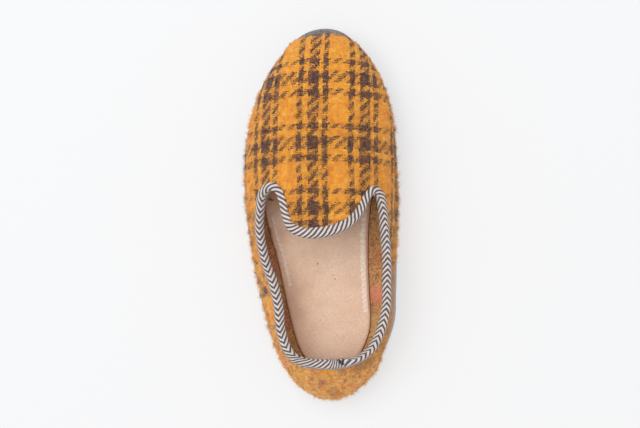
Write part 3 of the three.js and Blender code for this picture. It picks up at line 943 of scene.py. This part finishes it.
def plaid(surface, skin, yellows, darks):
    """The check's colour: a twill of three over and three under, with its edges felted. It is paler round
    the heel, where the dark yarns are worn, and paler there too as painted light on the steep heel wall."""
    cloth = surface.cloth()
    moved = surface.shifted(cloth, DRIFT_SIZE, DRIFT)
    moved = surface.shifted(moved, FELTING_SIZE, FELTING, detail=3.0)
    parts = surface.node("ShaderNodeSeparateXYZ", Vector=moved)
    warp = surface.math("DIVIDE", surface.math("SUBTRACT", parts.outputs[0], WARP_START), WARP_YARN)
    weft = surface.math("DIVIDE", surface.math("SUBTRACT", WEFT_START, parts.outputs[1]), WEFT_YARN)
    masks, gaps = [], []
    for yarns, sett, cover in ((warp, WARP_SETT, WARP_COVER), (weft, WEFT_SETT, WEFT_COVER)):
        stops, total = sett_stops(sett)
        share = surface.math("FRACT", surface.math("DIVIDE", yarns, total))
        masks.append(surface.ramp(share, stops, constant=True))
        away = surface.math("ABSOLUTE", surface.math("SUBTRACT", surface.math("FRACT", yarns), 0.5))
        gaps.append(surface.math("GREATER_THAN", away, cover / 2))
    diagonal = surface.math("ADD", surface.math("FLOOR", warp), surface.math("FLOOR", weft))
    over = surface.math("LESS_THAN", surface.math("FLOORED_MODULO", diagonal, TWILL), TWILL / 2)
    warp_seen = surface.math("MULTIPLY", over, surface.math("SUBTRACT", 1.0, gaps[0]))
    weft_hidden = surface.math("MULTIPLY", surface.math("SUBTRACT", 1.0, over), gaps[1])
    dark = surface.mix(surface.math("ADD", warp_seen, weft_hidden), masks[1], masks[0])
    mottle, hue, wear, grain = (surface.cloth_noise(*row) for row in (MOTTLE, HUE, WEAR, GRAIN))
    stretched = surface.vector("MULTIPLY", cloth, DRAWN_STRETCH)
    drawn = surface.noise(stretched, 1, DRAWN_DETAIL, DRAWN_ROUGHNESS)
    across = surface.math("ABSOLUTE", parts.outputs[0])
    along = surface.span(parts.outputs[1], *SIDE_FADE_ALONG)
    side = surface.math("MULTIPLY", surface.span(across, *SIDE_FADE), along)
    # Round the heel the dark yarns are worn, and the paler mix there is also painted light on the steep
    # heel wall.
    heel = surface.span(parts.outputs[1], *HEEL_WEAR_AND_LIGHT)
    wear_and_heel_light = surface.math("MAXIMUM", side, heel)
    spots = surface.span(wear, *WORN_SPOTS)
    patchy = surface.math("MAXIMUM", spots, surface.scaled(heel, HEEL_WORN_AND_LIT))
    bright = surface.mix(surface.span(hue, *ROSE_SHARE), surface.ramp(mottle, yellows), ROSE)
    aubergine = surface.mix(surface.math("MULTIPLY", wear_and_heel_light, patchy), surface.ramp(mottle, darks), STRAW)
    shade = surface.mix(dark, bright, aubergine)
    shade = surface.mix(surface.math("MULTIPLY", wear_and_heel_light, surface.span(hue, *PEACH_SHARE)), shade, PEACH)
    shade = surface.mix(surface.math("MULTIPLY", heel, surface.span(drawn, *RUST_SHARE)), shade, RUST)
    shade = surface.mix(surface.span(grain, *SHADE_SHARE), shade, SHADE)
    shade = surface.mix(surface.span(grain, *GLINT_SHARE), shade, GLINT)
    return surface.patched(shade, WOOL_STAINS_AND_PAINTED_LIGHT, skin), warp, weft


def wool_material(skin):
    surface = Surface("wool_check", FLUFF_ROUGHNESS, WOOL_SHEEN)
    shade, warp, weft = plaid(surface, skin, YELLOW, AUBERGINE)
    strands = surface.cloth_noise(*STRANDS)
    turn = surface.scaled(surface.math("ADD", warp, weft), 2 * math.pi / TWILL)
    rib = surface.math("SINE", turn)
    return surface.coloured(shade, surface.scaled(rib, RIB_HEIGHT), surface.scaled(strands, STRAND_HEIGHT))


def nap_material(skin):
    surface = Surface("wool_nap", FLUFF_ROUGHNESS, NAP_SHEEN)
    shade, _, _ = plaid(surface, skin, NAP_YELLOW, NAP_AUBERGINE)
    return surface.coloured(shade)


FELT_SMUDGES = (
    (40, -56, 6, 0.7, colour(236, 146, 120)),
    (42, -30, 7, 0.45, colour(206, 128, 84)),
    (40, -76, 8, 0.5, colour(214, 178, 110)),
    (-34, -18, 7, 0.6, colour(168, 112, 82)),
    (-30, -40, 6, 0.6, colour(190, 124, 100)),
)

# The felt's and the canvas's noises are rows of size, detail and roughness.
FELT_BROAD = (16, 4, 0.6)
FELT_FINE = (1.7, 4, 0.75)
FELT_STOPS = ((0.34, colour(220, 142, 106)), (0.46, colour(214, 154, 100)), (0.66, colour(226, 178, 110)))
FELT_FLECK = colour(138, 88, 62)
FELT_FLECK_SHARE = (0.47, 0.58, 0, 0.8)
FELT_HEIGHT = 0.5


def felt_material():
    surface = Surface("brown_felt", FLUFF_ROUGHNESS, FELT_SHEEN)
    place = surface.place()
    broad = surface.noise(place, *FELT_BROAD)
    fine = surface.noise(place, *FELT_FINE)
    shade = surface.ramp(broad, FELT_STOPS)
    shade = surface.mix(surface.span(fine, *FELT_FLECK_SHARE), shade, FELT_FLECK)
    return surface.coloured(surface.patched(shade, FELT_SMUDGES), surface.scaled(fine, FELT_HEIGHT))


TAPE_PITCH = 3.85
TAPE_SLANT = 1.15
TAPE_DRIFT = (0.9, 0.6, 0)
TAPE_DRIFT_SIZE = 3
LIGHT_CORD = colour(232, 219, 213)
DARK_CORD = colour(84, 74, 78)
CORD_STOPS = ((0.0, DARK_CORD), (0.07, LIGHT_CORD), (0.5, LIGHT_CORD), (0.6, DARK_CORD))
CORDS_A_PITCH = 2
CORD_HEIGHT = 0.18
TAPE_WEAR = colour(160, 148, 148)
TAPE_WEAR_SIZE = 1.2
TAPE_WEAR_SHARE = 0.16
TAPE_WEAR_HEIGHT = 0.25


def tape_material():
    """Herringbone tape: light and dark cords that meet in a point along the fold."""
    surface = Surface("herringbone_tape", TAPE_ROUGHNESS, TAPE_SHEEN)
    cloth = surface.cloth()
    moved = surface.shifted(cloth, TAPE_DRIFT_SIZE, TAPE_DRIFT)
    parts = surface.node("ShaderNodeSeparateXYZ", Vector=moved)
    slanted = surface.scaled(surface.math("ABSOLUTE", parts.outputs[1]), TAPE_SLANT)
    cords = surface.math("DIVIDE", surface.math("ADD", parts.outputs[0], slanted), TAPE_PITCH)
    share = surface.math("FRACT", cords)
    wear = surface.noise(cloth, TAPE_WEAR_SIZE, detail=4)
    shade = surface.mix(surface.scaled(wear, TAPE_WEAR_SHARE), surface.ramp(share, CORD_STOPS), TAPE_WEAR)
    round_cords = surface.math("SINE", surface.scaled(share, CORDS_A_PITCH * 2 * math.pi))
    layers = surface.scaled(round_cords, CORD_HEIGHT), surface.scaled(wear, TAPE_WEAR_HEIGHT)
    return surface.coloured(shade, *layers)


# Patches on the insole: painted light, painted shade and dark marks.
INSOLE_MARKS_AND_PAINTED_LIGHT = (
    # Painted light on the insole's left part, in the next two rows.
    (-32, -4, 8, 0.5, colour(250, 222, 200)),
    (-27, -28, 6, 0.4, colour(248, 220, 198)),
    # Painted shade along the insole's left edge, between the edge and the strip, in the next three rows.
    (-37.5, -13, 2.6, 0.6, colour(176, 134, 108)),
    (-34, -27, 2.4, 0.6, colour(180, 138, 112)),
    (-31.5, -40, 2.2, 0.5, colour(184, 142, 116)),
    # Dark marks on the canvas:
    (-36.2, 9.5, 1.2, 0.8, colour(96, 62, 54)),
    (-3, -36, 0.9, 0.8, colour(104, 74, 66)),
    (9.6, -46, 0.8, 0.8, colour(120, 88, 76)),
)

CANVAS_BROAD = (30, 6, 0.6)
CANVAS_FINE = (1.1, 5, 0.75)
CANVAS_STOPS = (0.3, 0.48, 0.7)
CANVAS_DARKER = (0.46, 0.62, 0, 0.6)
CANVAS_PALER = (0.46, 0.34, 0, 0.5)
CANVAS_HEIGHTS = (0.3, 1.5)

# Specks: the size of their cells in millimetres, their own size in a cell, and how rare they are.
SPECKS = ((7, 0.055, 0.5), (3.4, 0.075, 0.52))
SPECK_COLOUR = colour(128, 94, 78)
SPECK_PATCH_SIZE = 11
SPECK_RAGGED = (1, 1, 0)
SPECK_RAGGED_SIZE = 2


def insole_material(name, shades):
    """Pale worn canvas with small dark specks, in three shades from dark to light, with patches of painted
    light and shade.
    """
    surface = Surface(name, CANVAS_ROUGHNESS)
    place = surface.place()
    broad = surface.noise(place, *CANVAS_BROAD)
    fine = surface.noise(place, *CANVAS_FINE)
    shade = surface.ramp(broad, tuple(zip(CANVAS_STOPS, shades)))
    shade = surface.mix(surface.span(fine, *CANVAS_DARKER), shade, shades[0])
    shade = surface.mix(surface.span(fine, *CANVAS_PALER), shade, shades[2])
    for cell, size, least in SPECKS:
        ragged = surface.shifted(place, SPECK_RAGGED_SIZE, SPECK_RAGGED)
        cells = surface.node("ShaderNodeTexVoronoi", Vector=ragged, Scale=1 / cell)
        speck = surface.math("LESS_THAN", cells.outputs[0], size)
        rare = surface.math("GREATER_THAN", surface.noise(place, SPECK_PATCH_SIZE), least)
        shade = surface.mix(surface.math("MULTIPLY", speck, rare), shade, SPECK_COLOUR)
    layers = [surface.scaled(value, height) for value, height in zip((fine, broad), CANVAS_HEIGHTS)]
    return surface.coloured(surface.patched(shade, INSOLE_MARKS_AND_PAINTED_LIGHT), *layers)


RUBBER_GRAIN = (0.8, 3, 0.8)
RUBBER_STOPS = ((0.34, colour(84, 84, 84)), (0.48, colour(138, 136, 135)), (0.66, colour(186, 184, 183)))
RUBBER_CELL = 1.1
RUBBER_CLOUD = colour(116, 118, 120)
RUBBER_CLOUD_SIZE = 12
RUBBER_CLOUD_SHARE = 0.4
RUBBER_HEIGHTS = (0.35, 0.3)
LEDGE_PAINTED_LIGHT = colour(214, 204, 202)
LEDGE_LIGHT_OUT = (30, 44, 0, 0.7)
LEDGE_LIGHT_ALONG = (40, 0, 0, 1)


def sole_material():
    """Grey granular rubber with dark and light grains, and painted light on its inner side from the waist
    back.
    """
    surface = Surface("speckled_rubber", RUBBER_ROUGHNESS)
    place = surface.place()
    grains = surface.node("ShaderNodeTexVoronoi", Vector=place, Scale=1 / RUBBER_CELL)
    grain = surface.noise(place, *RUBBER_GRAIN)
    cloudy = surface.noise(place, RUBBER_CLOUD_SIZE, detail=3)
    shade = surface.ramp(grain, RUBBER_STOPS)
    shade = surface.mix(surface.scaled(cloudy, RUBBER_CLOUD_SHARE), shade, RUBBER_CLOUD)
    side = surface.node("ShaderNodeSeparateXYZ", Vector=place)
    # Painted light: the inner side is paler from the waist back.
    outwards = surface.span(side.outputs[0], *LEDGE_LIGHT_OUT)
    along = surface.span(side.outputs[1], *LEDGE_LIGHT_ALONG)
    shade = surface.mix(surface.math("MULTIPLY", outwards, along), shade, LEDGE_PAINTED_LIGHT)
    cell_height, grain_height = RUBBER_HEIGHTS
    layers = surface.scaled(grains.outputs[0], cell_height), surface.scaled(grain, grain_height)
    return surface.coloured(shade, *layers)


THREAD_GRAIN_SIZE = 0.7
THREAD_STOPS = (0.35, 0.65)
THREAD_HEIGHT = 0.2


def thread_material(name, shades):
    surface = Surface(name, THREAD_ROUGHNESS)
    fine = surface.noise(surface.place(), THREAD_GRAIN_SIZE, detail=3)
    shade = surface.ramp(fine, tuple(zip(THREAD_STOPS, shades)))
    return surface.coloured(shade, surface.scaled(fine, THREAD_HEIGHT))


# The upper.
BAND_SAG = 6.5
BAND_SAG_FROM = 10
BAND_SAG_TO = 75
HEEL_ROUND = 36.0
CREASES = (
    ((21, -127), (45, -168), 3.2, -0.5),
    ((20, -130), (27, -134), 4, -1.5),
    ((2, -134), (4, -146), 9, -0.7),
    ((-30, -118), (-60, -112), 7, -0.7),
    ((24, -130), (48, -122), 8, -0.8),
    ((62, -98), (72, -84), 9, 0.9),
    ((-58, -40), (-66, -66), 8, -0.7),
    ((-12, 20), (-52, 40), 12, -0.6),
    ((22, 34), (60, 26), 12, -0.5),
    ((-8, 86), (14, 84), 14, 0.4),
)

# The felted cloth's unevenness: two waves a row, as (per u, per v, start), and the height of their product.
UNEVEN_WAVES = (
    ((0.21, 0.13, 1), (-0.08, 0.19, 0), 0.16),
    ((0.63, 0, 2), (0, 0.71, 0.6), 0.08),
)


def crease_relief(u, v):
    return place_strokes(u, v, CREASES)


def soft_relief(u, v):
    """The listed creases, and the slight unevenness of the felted cloth."""
    relief = crease_relief(u, v)
    for (first_u, first_v, first_start), (second_u, second_v, second_start), height in UNEVEN_WAVES:
        first = np.sin(u * first_u + v * first_v + first_start)
        relief = relief + first * np.sin(u * second_u + v * second_v + second_start) * height
    return relief


# Fibres as their count, lengths, rise from the skin in degrees and width.
NAP = (64000, (1.2, 3.2), (8, 45), 0.14)
TUFTS = (36000, (1.8, 5.6), (20, 72), 0.14)
TUFT_LUMPS = 1900
LINING_GAP = 0.1

rng = np.random.default_rng(SEED)
outer_skin = Skin(0.0, soft_relief)
wool = wool_material(outer_skin)
nap = nap_material(outer_skin)
felt = felt_material()
upper_wool = shell("upper_wool", outer_skin, -WOOL, crease_relief, wool)
lining_skin = Skin(-WOOL - LINING_GAP, crease_relief)
felt_lining = shell("felt_lining", lining_skin, -WALL, crease_relief, felt)
wool_nap = fibres("wool_nap", outer_skin, *NAP, nap, rng)
wool_tufts = fibres("wool_tufts", outer_skin, *TUFTS, nap, rng, lumps=TUFT_LUMPS)
for piece in (upper_wool, felt_lining, wool_nap, wool_tufts):
    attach(piece, "root")
    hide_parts("upper")


# The collar's tape, folded over the edge.
FOLD_HALF = WALL / 2 + TAPE_GAP + TAPE
FOLD_SHOULDER = 0.6
FOLD_RISE = TAPE_GAP + TAPE + FOLD_SHOULDER
FOLD_STEPS = 14
SIDE_ROWS = (1.6, 2.6, 3.3, 3.9, 4.6)
SIDE_PUFF = (0.05, 0.0, -0.15, -0.3, -0.5)
SIDE_OUT = TAPE_GAP + TAPE

# Round the collar, as its row, how deep the tape's outer side is as a share of its section, and how far the
# point of its stripes lies out from the fold.
TAPE_TURNS = (
    (0, 1.25, 0.0),
    (5, 1.0, 0.6),
    (9, 0.66, 1.7),
    (13, 0.62, 1.6),
    (14.4, 0.9, -2.2),
    (17.2, 0.95, -2.4),
    (17.8, 0.9, 0.2),
    (20, 0.66, 0.4),
    (21.6, 0.66, 1.0),
    (23, 0.7, 3.0),
    (26, 0.9, 1.6),
    (31, 1.25, 0.0),
)


def tape_section():
    """The tape's section as (out, down), round its outside and then its inside, and the way across it."""
    outside = []
    for k in range(-FOLD_STEPS, FOLD_STEPS + 1):
        turn = math.pi / 2 * k / FOLD_STEPS
        out = -WALL / 2 + FOLD_HALF * math.sin(turn)
        outside.append((out, FOLD_SHOULDER - FOLD_RISE * math.cos(turn)))
    right = [(SIDE_OUT + puff, down) for down, puff in zip(SIDE_ROWS, SIDE_PUFF)]
    left = [(-WALL - SIDE_OUT - puff, down) for down, puff in zip(SIDE_ROWS, SIDE_PUFF)]
    outside = left[::-1] + outside + right
    face, back = TAPE_GAP, -WALL - TAPE_GAP
    inside = [(face, TAPE_COVER), (face, -TAPE_GAP), (back, -TAPE_GAP), (back, TAPE_COVER)]
    points = np.array(outside + inside)
    across = lengths_along(points[: len(outside)])
    across -= across[len(outside) // 2]
    across = np.concatenate([across, [across[-1], 0, 0, across[0]]])
    return points, across


# The join of the tape's ends, where its stripes bunch up and it is a little thicker.
JOIN_X = 20.0
JOIN_BEHIND_Y = -90
BUNCH = 9.0
BUNCH_LENGTH = 10.0
LUMP = 0.099
LUMP_PLACE = 3.0
LUMP_START_WIDTH = 2.4
LUMP_END_WIDTH = 3.0


def tape_join():
    """The collar's step where the tape's two ends meet, at the back of the heel."""
    edge = collar_point(0, 0)
    away = np.abs(edge[:, 0] - JOIN_X) + np.where(edge[:, 1] < JOIN_BEHIND_Y, 0, np.inf)
    return int(np.argmin(away))


def row_at_steps():
    """How far along COLLAR_ROWS each step of the collar is."""
    places = collar_places()
    nearest = [int(np.argmin(np.linalg.norm(COLLAR_LOOP - place, axis=1))) for place in places]
    steps = [0] + nearest[1:] + [COLLAR_STEPS]
    return np.interp(np.arange(COLLAR_STEPS), steps, np.arange(len(steps)))


def collar_tape():
    points, across = tape_section()
    join = tape_join()
    edge = collar_point(0, 0)
    order = np.roll(np.arange(COLLAR_STEPS), -join)
    along = lengths_along(np.concatenate([edge[order], edge[order][:1]]))
    phase = along + BUNCH * smooth(along, along[-1] - BUNCH_LENGTH, along[-1])
    start_lump = np.exp(-(((along - LUMP_PLACE) / LUMP_START_WIDTH) ** 2))
    end_lump = np.exp(-(((along[-1] - along - LUMP_PLACE) / LUMP_END_WIDTH) ** 2))
    growth = 1 + LUMP * (start_lump + end_lump)[:-1, None]
    row = row_at_steps()
    turn_row, turn_depth, turn_aside = np.array(TAPE_TURNS).T
    deep = np.interp(row, turn_row, turn_depth)
    aside = np.interp(row, turn_row, turn_aside)[order]
    aside = np.append(aside, aside[0])
    rings = []
    for out, down in points:
        outer_side = out > 0 and down > FOLD_SHOULDER
        depth = np.where(outer_side, FOLD_SHOULDER + (down - FOLD_SHOULDER) * deep, down)
        rings.append(collar_point(out, depth)[order])
    rings = np.array(rings)
    centre = rings.mean(0)
    rings = centre + (rings - centre) * growth
    count = len(points)
    faces, cloth = [], []
    for r in range(count):
        after = (r + 1) % count
        start, end = r * COLLAR_STEPS, after * COLLAR_STEPS
        for i in range(COLLAR_STEPS):
            j = (i + 1) % COLLAR_STEPS
            faces.append((start + i, end + i, end + j, start + j))
            for k, ring in ((i, r), (i, after), (i + 1, after), (i + 1, r)):
                cloth.append((phase[k], across[ring] - aside[k]))
    return new_piece("collar_tape", rings.reshape(-1, 3), faces, tape_material(), cloth)


tape = collar_tape()
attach(tape, "root")
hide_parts("collar_binding")


# The soles.
def outline_points(outline, steps):
    """Evenly spaced points round an outline, with each point's way out."""
    fine = outline.fine_edge()
    points = evenly_spaced(np.concatenate([fine, fine[:1]]), steps)
    along = np.roll(points, -1, 0) - np.roll(points, 1, 0)
    outward = unit(np.stack([-along[:, 1], along[:, 0]], -1))
    centre = points.mean(0)
    flip = np.sign(((points - centre) * outward).sum())
    return points, outward * flip


# The rings that fill a slab's faces: their shares of the way out from the middle line, and how far before
# each end that line stops.
FILL_SHARES = (0.002, 0.1, 0.25, 0.42, 0.58, 0.72, 0.84, 0.93, 0.98)
SPINE_STOP = 30


def fill_ring(points, outward, outline, inset, z, share):
    """A ring inside a slab's flat face, drawn in to the middle line."""
    base = points - outward * inset
    spine_y = np.clip(base[:, 1], outline.heel + SPINE_STOP, outline.toe - SPINE_STOP)
    spine_x = (outline.at("left", spine_y) + outline.at("right", spine_y)) / 2
    spine = np.stack([spine_x, spine_y], -1)
    ring = spine + (base - spine) * share
    return np.column_stack([ring, np.full(len(ring), float(z))])


def slab(name, outline, profile, material, bottom_lift=None):
    """A slab from rings of (inset, height) down its edge, with both faces filled in by shrinking rings."""
    points, outward = outline_points(outline, SLAB_STEPS)
    rings = []
    top_inset, top_z = profile[0]
    low_inset, low_z = profile[-1]
    for share in FILL_SHARES:
        rings.append(fill_ring(points, outward, outline, top_inset, top_z, share))
    for inset, z in profile:
        rings.append(np.column_stack([points - outward * inset, np.full(SLAB_STEPS, float(z))]))
    for share in reversed(FILL_SHARES):
        rings.append(fill_ring(points, outward, outline, low_inset, low_z, share))
    rings = np.array(rings)
    if bottom_lift is not None:
        low = np.abs(rings[..., 2] - low_z) < 1e-6
        rings[..., 2] += np.where(low, bottom_lift(rings[..., 1]), 0)
    return swept(name, sprung(rings), material)


def arch_at(y):
    """The arch under the waist."""
    share = np.clip((ARCH_FROM - y) / (ARCH_FROM - ARCH_TO), 0, 1)
    return ARCH_LIFT * np.sin(math.pi * share) ** 2


# Profiles from the top edge down, as rows of inset and height.
SOLE_PROFILE = (
    (1.6, SOLE_THICKNESS),
    (0.8, 6.8),
    (0.4, 6.5),
    (0.1, 6.0),
    (0.0, 5.4),
    (0.5, 3.2),
    (1.0, 2.9),
    (1.3, 2.6),
    (1.4, 1.9),
    (1.5, 1.2),
    (1.9, 0.5),
    (2.6, 0.0),
)
INSOLE_PROFILE = (
    (2.4, INSOLE_TOP),
    (1.6, 12.35),
    (0.9, 12.0),
    (0.45, 11.5),
    (0.2, 10.9),
    (0.2, 9.0),
    (0.2, FEATHER_Z),
)
CANVAS_SHADES = (colour(224, 188, 162), colour(240, 207, 180), colour(248, 220, 196))

outsole = slab("outsole_rubber", SOLE, SOLE_PROFILE, sole_material(), arch_at)
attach(outsole, "root")
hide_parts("outsole")
insole = slab("insole_canvas", INSOLE, INSOLE_PROFILE, insole_material("insole_canvas", CANVAS_SHADES))
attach(insole, "root")
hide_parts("insole")


# Thread and the strips sewn along the insole's edges.
THREAD_SIDES = 6
THREAD_END = 0.5
THREAD_SKEW = np.array([0.1, 0.2, 1.0])


def threads(name, paths, radius, material):
    """Many short threads as one mesh. Each path is a row of points."""
    points, faces = [], []
    turn = np.linspace(0, 2 * math.pi, THREAD_SIDES, endpoint=False)
    for path in paths:
        along = unit(np.gradient(path, axis=0))
        side = unit(np.cross(along, THREAD_SKEW))
        above = np.cross(side, along)
        taper = radius * np.array([THREAD_END] + [1.0] * (len(path) - 2) + [THREAD_END])[:, None, None]
        ring = side[:, None] * np.cos(turn)[:, None] + above[:, None] * np.sin(turn)[:, None]
        faces += tube_faces(len(path), THREAD_SIDES, sum(len(p) for p in points))
        points.append((path[:, None] + ring * taper).reshape(-1, 3))
    return new_piece(name, np.concatenate(points), faces, material)


def insole_edge(side, y, inset, above):
    """A point on the insole's top, inset from its edge and raised by above."""
    y = np.asarray(y, float)
    x = INSOLE.at(side, y)
    slope = (INSOLE.at(side, y + 1) - INSOLE.at(side, y - 1)) / 2
    inward = -1 if side == "right" else 1
    way = unit(np.stack([np.full_like(y, inward), -inward * slope], -1))
    insets, heights = np.array(INSOLE_PROFILE).T
    z = np.interp(inset, insets[::-1], heights[::-1])
    flat = np.stack([x, y], -1) + way * np.reshape(inset, (-1, 1))
    return sprung(np.column_stack([flat, z + above]))


# The strips' section as (share of the half width, height), and how the stitches draw it in and lift it.
STRIP_SECTION = (
    (-1, -0.1),
    (-0.8, 0.3),
    (-0.35, 0.42),
    (0.1, 0.4),
    (0.6, 0.36),
    (0.9, 0.25),
    (1, -0.1),
    (0, -0.2),
)
STRIP_STEP = 0.4
STITCH_PITCH = 3.7
STITCH_PULL = 0.35
STRIP_WAVER = 0.25
STRIP_WAVES = (1.7, 0.43)
STRIP_LIFT = 0.3

# Stitches over a strip, and how they reach past its sides, slant and arch.
STITCH_POINTS = 7
STITCH_ENDS = 1.5
STITCH_STRAY = 0.3
STITCH_SHARES = (-1.05, 1.25)
STITCH_SLANT = 1.3
STITCH_LOW = 0.15
STITCH_ARCH = 0.6
STITCH_TURN = 1.45
STITCH_RADIUS = 0.2


def edge_strip(name, side, ends, insets, half_width, material):
    """A thin strip of cloth along the insole's edge, drawn in a little at each stitch."""
    y = np.arange(ends[0], ends[1], -STRIP_STEP)
    inset = np.interp(y, (ends[1], ends[0]), (insets[1], insets[0]))
    stitched = np.cos(2 * math.pi * y / STITCH_PITCH)
    waver = np.sin(y * STRIP_WAVES[0]) * np.sin(y * STRIP_WAVES[1])
    pull = STITCH_PULL * stitched + STRIP_WAVER * waver
    rings = []
    for share, height in STRIP_SECTION:
        reach = inset + share * (half_width + (pull if share > 0 else 0))
        raised = height * (1 + STRIP_LIFT * stitched) if height > 0 else height + 0 * y
        rings.append(insole_edge(side, y, reach, raised))
    return swept(name, np.array(rings).transpose(1, 0, 2), material)


def strip_stitches(side, ends, insets, half_width, rng):
    """Slanting stitches over a strip."""
    paths = []
    share = np.linspace(*STITCH_SHARES, STITCH_POINTS)
    height = STITCH_LOW + STITCH_ARCH * np.cos(np.linspace(-1, 1, STITCH_POINTS) * STITCH_TURN)
    for y in np.arange(ends[0] - STITCH_ENDS, ends[1] + STITCH_ENDS, -STITCH_PITCH):
        y = y + rng.normal(0, STITCH_STRAY)
        inset = np.interp(y, (ends[1], ends[0]), (insets[1], insets[0]))
        paths.append(insole_edge(side, y - share * STITCH_SLANT, inset + share * half_width, height))
    return paths


# The strips as side, ends in y, insets at the ends and half width.
LEFT_STRIP = ("left", (-2, -53), (4.7, 5.0), 1.4)
RIGHT_STRIP = ("right", (6, -70), (3.3, 3.1), 2.2)
STRIP_SHADES = (colour(242, 212, 192), colour(255, 234, 214), colour(255, 246, 234))
strip_cloth = insole_material("strip_canvas", STRIP_SHADES)
stitch_thread = thread_material("pale_thread", (colour(232, 208, 190), colour(250, 234, 220)))
pieces = []
stitch_paths = []
for name, (side, ends, insets, half_width) in (("strip_left", LEFT_STRIP), ("strip_right", RIGHT_STRIP)):
    pieces.append(edge_strip(name, side, ends, insets, half_width, strip_cloth))
    stitch_paths += strip_stitches(side, ends, insets, half_width, rng)
pieces.append(threads("strip_stitches", stitch_paths, STITCH_RADIUS, stitch_thread))


# Loose stitches over the join: how far they stray, lean and reach round the fold, and how far off they lie.
JOIN_STITCHES = 11
JOIN_STRAY = 1.3
JOIN_LEAN = 1.2
JOIN_STARTS = (-1.1, -0.2)
JOIN_ENDS = (0.3, 1.1)
JOIN_OUT = 0.15
JOIN_UP = 0.55
JOIN_RADIUS = 0.16


def join_threads(rng):
    """Loose dark stitches where the tape's ends are sewn over each other."""
    step = tape_join()
    paths = []
    for _ in range(JOIN_STITCHES):
        start = rng.normal(0, JOIN_STRAY)
        lean = rng.normal(0, JOIN_LEAN)
        turn = np.linspace(rng.uniform(*JOIN_STARTS), rng.uniform(*JOIN_ENDS), STITCH_POINTS)
        out = -WALL / 2 + (FOLD_HALF + JOIN_OUT) * np.sin(turn)
        down = FOLD_SHOULDER - (FOLD_RISE + JOIN_UP) * np.cos(turn)
        place = COLLAR_LOOP[step] + COLLAR_DOWN[step] * down[:, None]
        path = upper_point(place[:, 0], place[:, 1], out)
        path[:, 0] += start + lean * np.sin(turn)
        paths.append(path)
    return paths


dark_thread = thread_material("dark_thread", (colour(46, 42, 44), colour(84, 78, 80)))
pieces.append(threads("join_stitches", join_threads(rng), JOIN_RADIUS, dark_thread))
for piece, node in zip(pieces, ("insole", "insole", "insole", "collar_binding")):
    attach(piece, "root")

# The floor, the light and the camera, in metres.
FLOOR_SIZE = 6
FLOOR_COLOUR = colour(162, 163, 165)
FLOOR_GLOW = 0.54
WHITE = (1, 1, 1, 1)
SKY_STRENGTH = 0.64
LIGHT_POWER = 19
LIGHT_SIZE = 1.5
LIGHT_PLACE = Vector((-0.36, 0.36, 1.75))
CAMERA = Vector((0.1269, 0.0316, 1.0))
TARGET = Vector((0.001, 0.0, 0.03))
FRAME_HEIGHT = 0.296
SENSOR_WIDTH = 36
ASPECT = 428 / 640

bpy.ops.mesh.primitive_plane_add(size=FLOOR_SIZE, location=(0, 0, 0))
floor = bpy.context.object
floor.name = "floor"
pale = Surface("pale_floor", FLOOR_ROUGHNESS)
pale.shader.inputs["Base Color"].default_value = FLOOR_COLOUR
pale.shader.inputs["Emission Color"].default_value = WHITE
pale.shader.inputs["Emission Strength"].default_value = FLOOR_GLOW
floor.data.materials.append(pale.material)

world = bpy.data.worlds.new("soft_sky")
world.use_nodes = True
world.node_tree.nodes["Background"].inputs[0].default_value = WHITE
world.node_tree.nodes["Background"].inputs[1].default_value = SKY_STRENGTH
bpy.context.scene.world = world


def look_at(thing, place, target, up):
    """Puts a thing at place, looking at target with up towards the top of its view."""
    back = (place - target).normalized()
    right = up.cross(back).normalized()
    above = back.cross(right)
    thing.matrix_world = Matrix.Translation(place) @ Matrix((right, above, back)).transposed().to_4x4()


light_data = bpy.data.lights.new("window_light", "AREA")
light_data.energy = LIGHT_POWER
light_data.size = LIGHT_SIZE
light = bpy.data.objects.new("window_light", light_data)
bpy.context.scene.collection.objects.link(light)
look_at(light, LIGHT_PLACE, Vector((0, 0, 0)), Vector((0, 0, 1)))

camera_data = bpy.data.cameras.new("camera")
camera_data.sensor_width = SENSOR_WIDTH
camera_data.lens = SENSOR_WIDTH * ASPECT * (CAMERA - TARGET).length / FRAME_HEIGHT
camera = bpy.data.objects.new("camera", camera_data)
bpy.context.scene.collection.objects.link(camera)
look_at(camera, CAMERA, TARGET, Vector((0, 1, 0)))
bpy.context.scene.camera = camera
bpy.context.scene.view_settings.view_transform = "Standard"
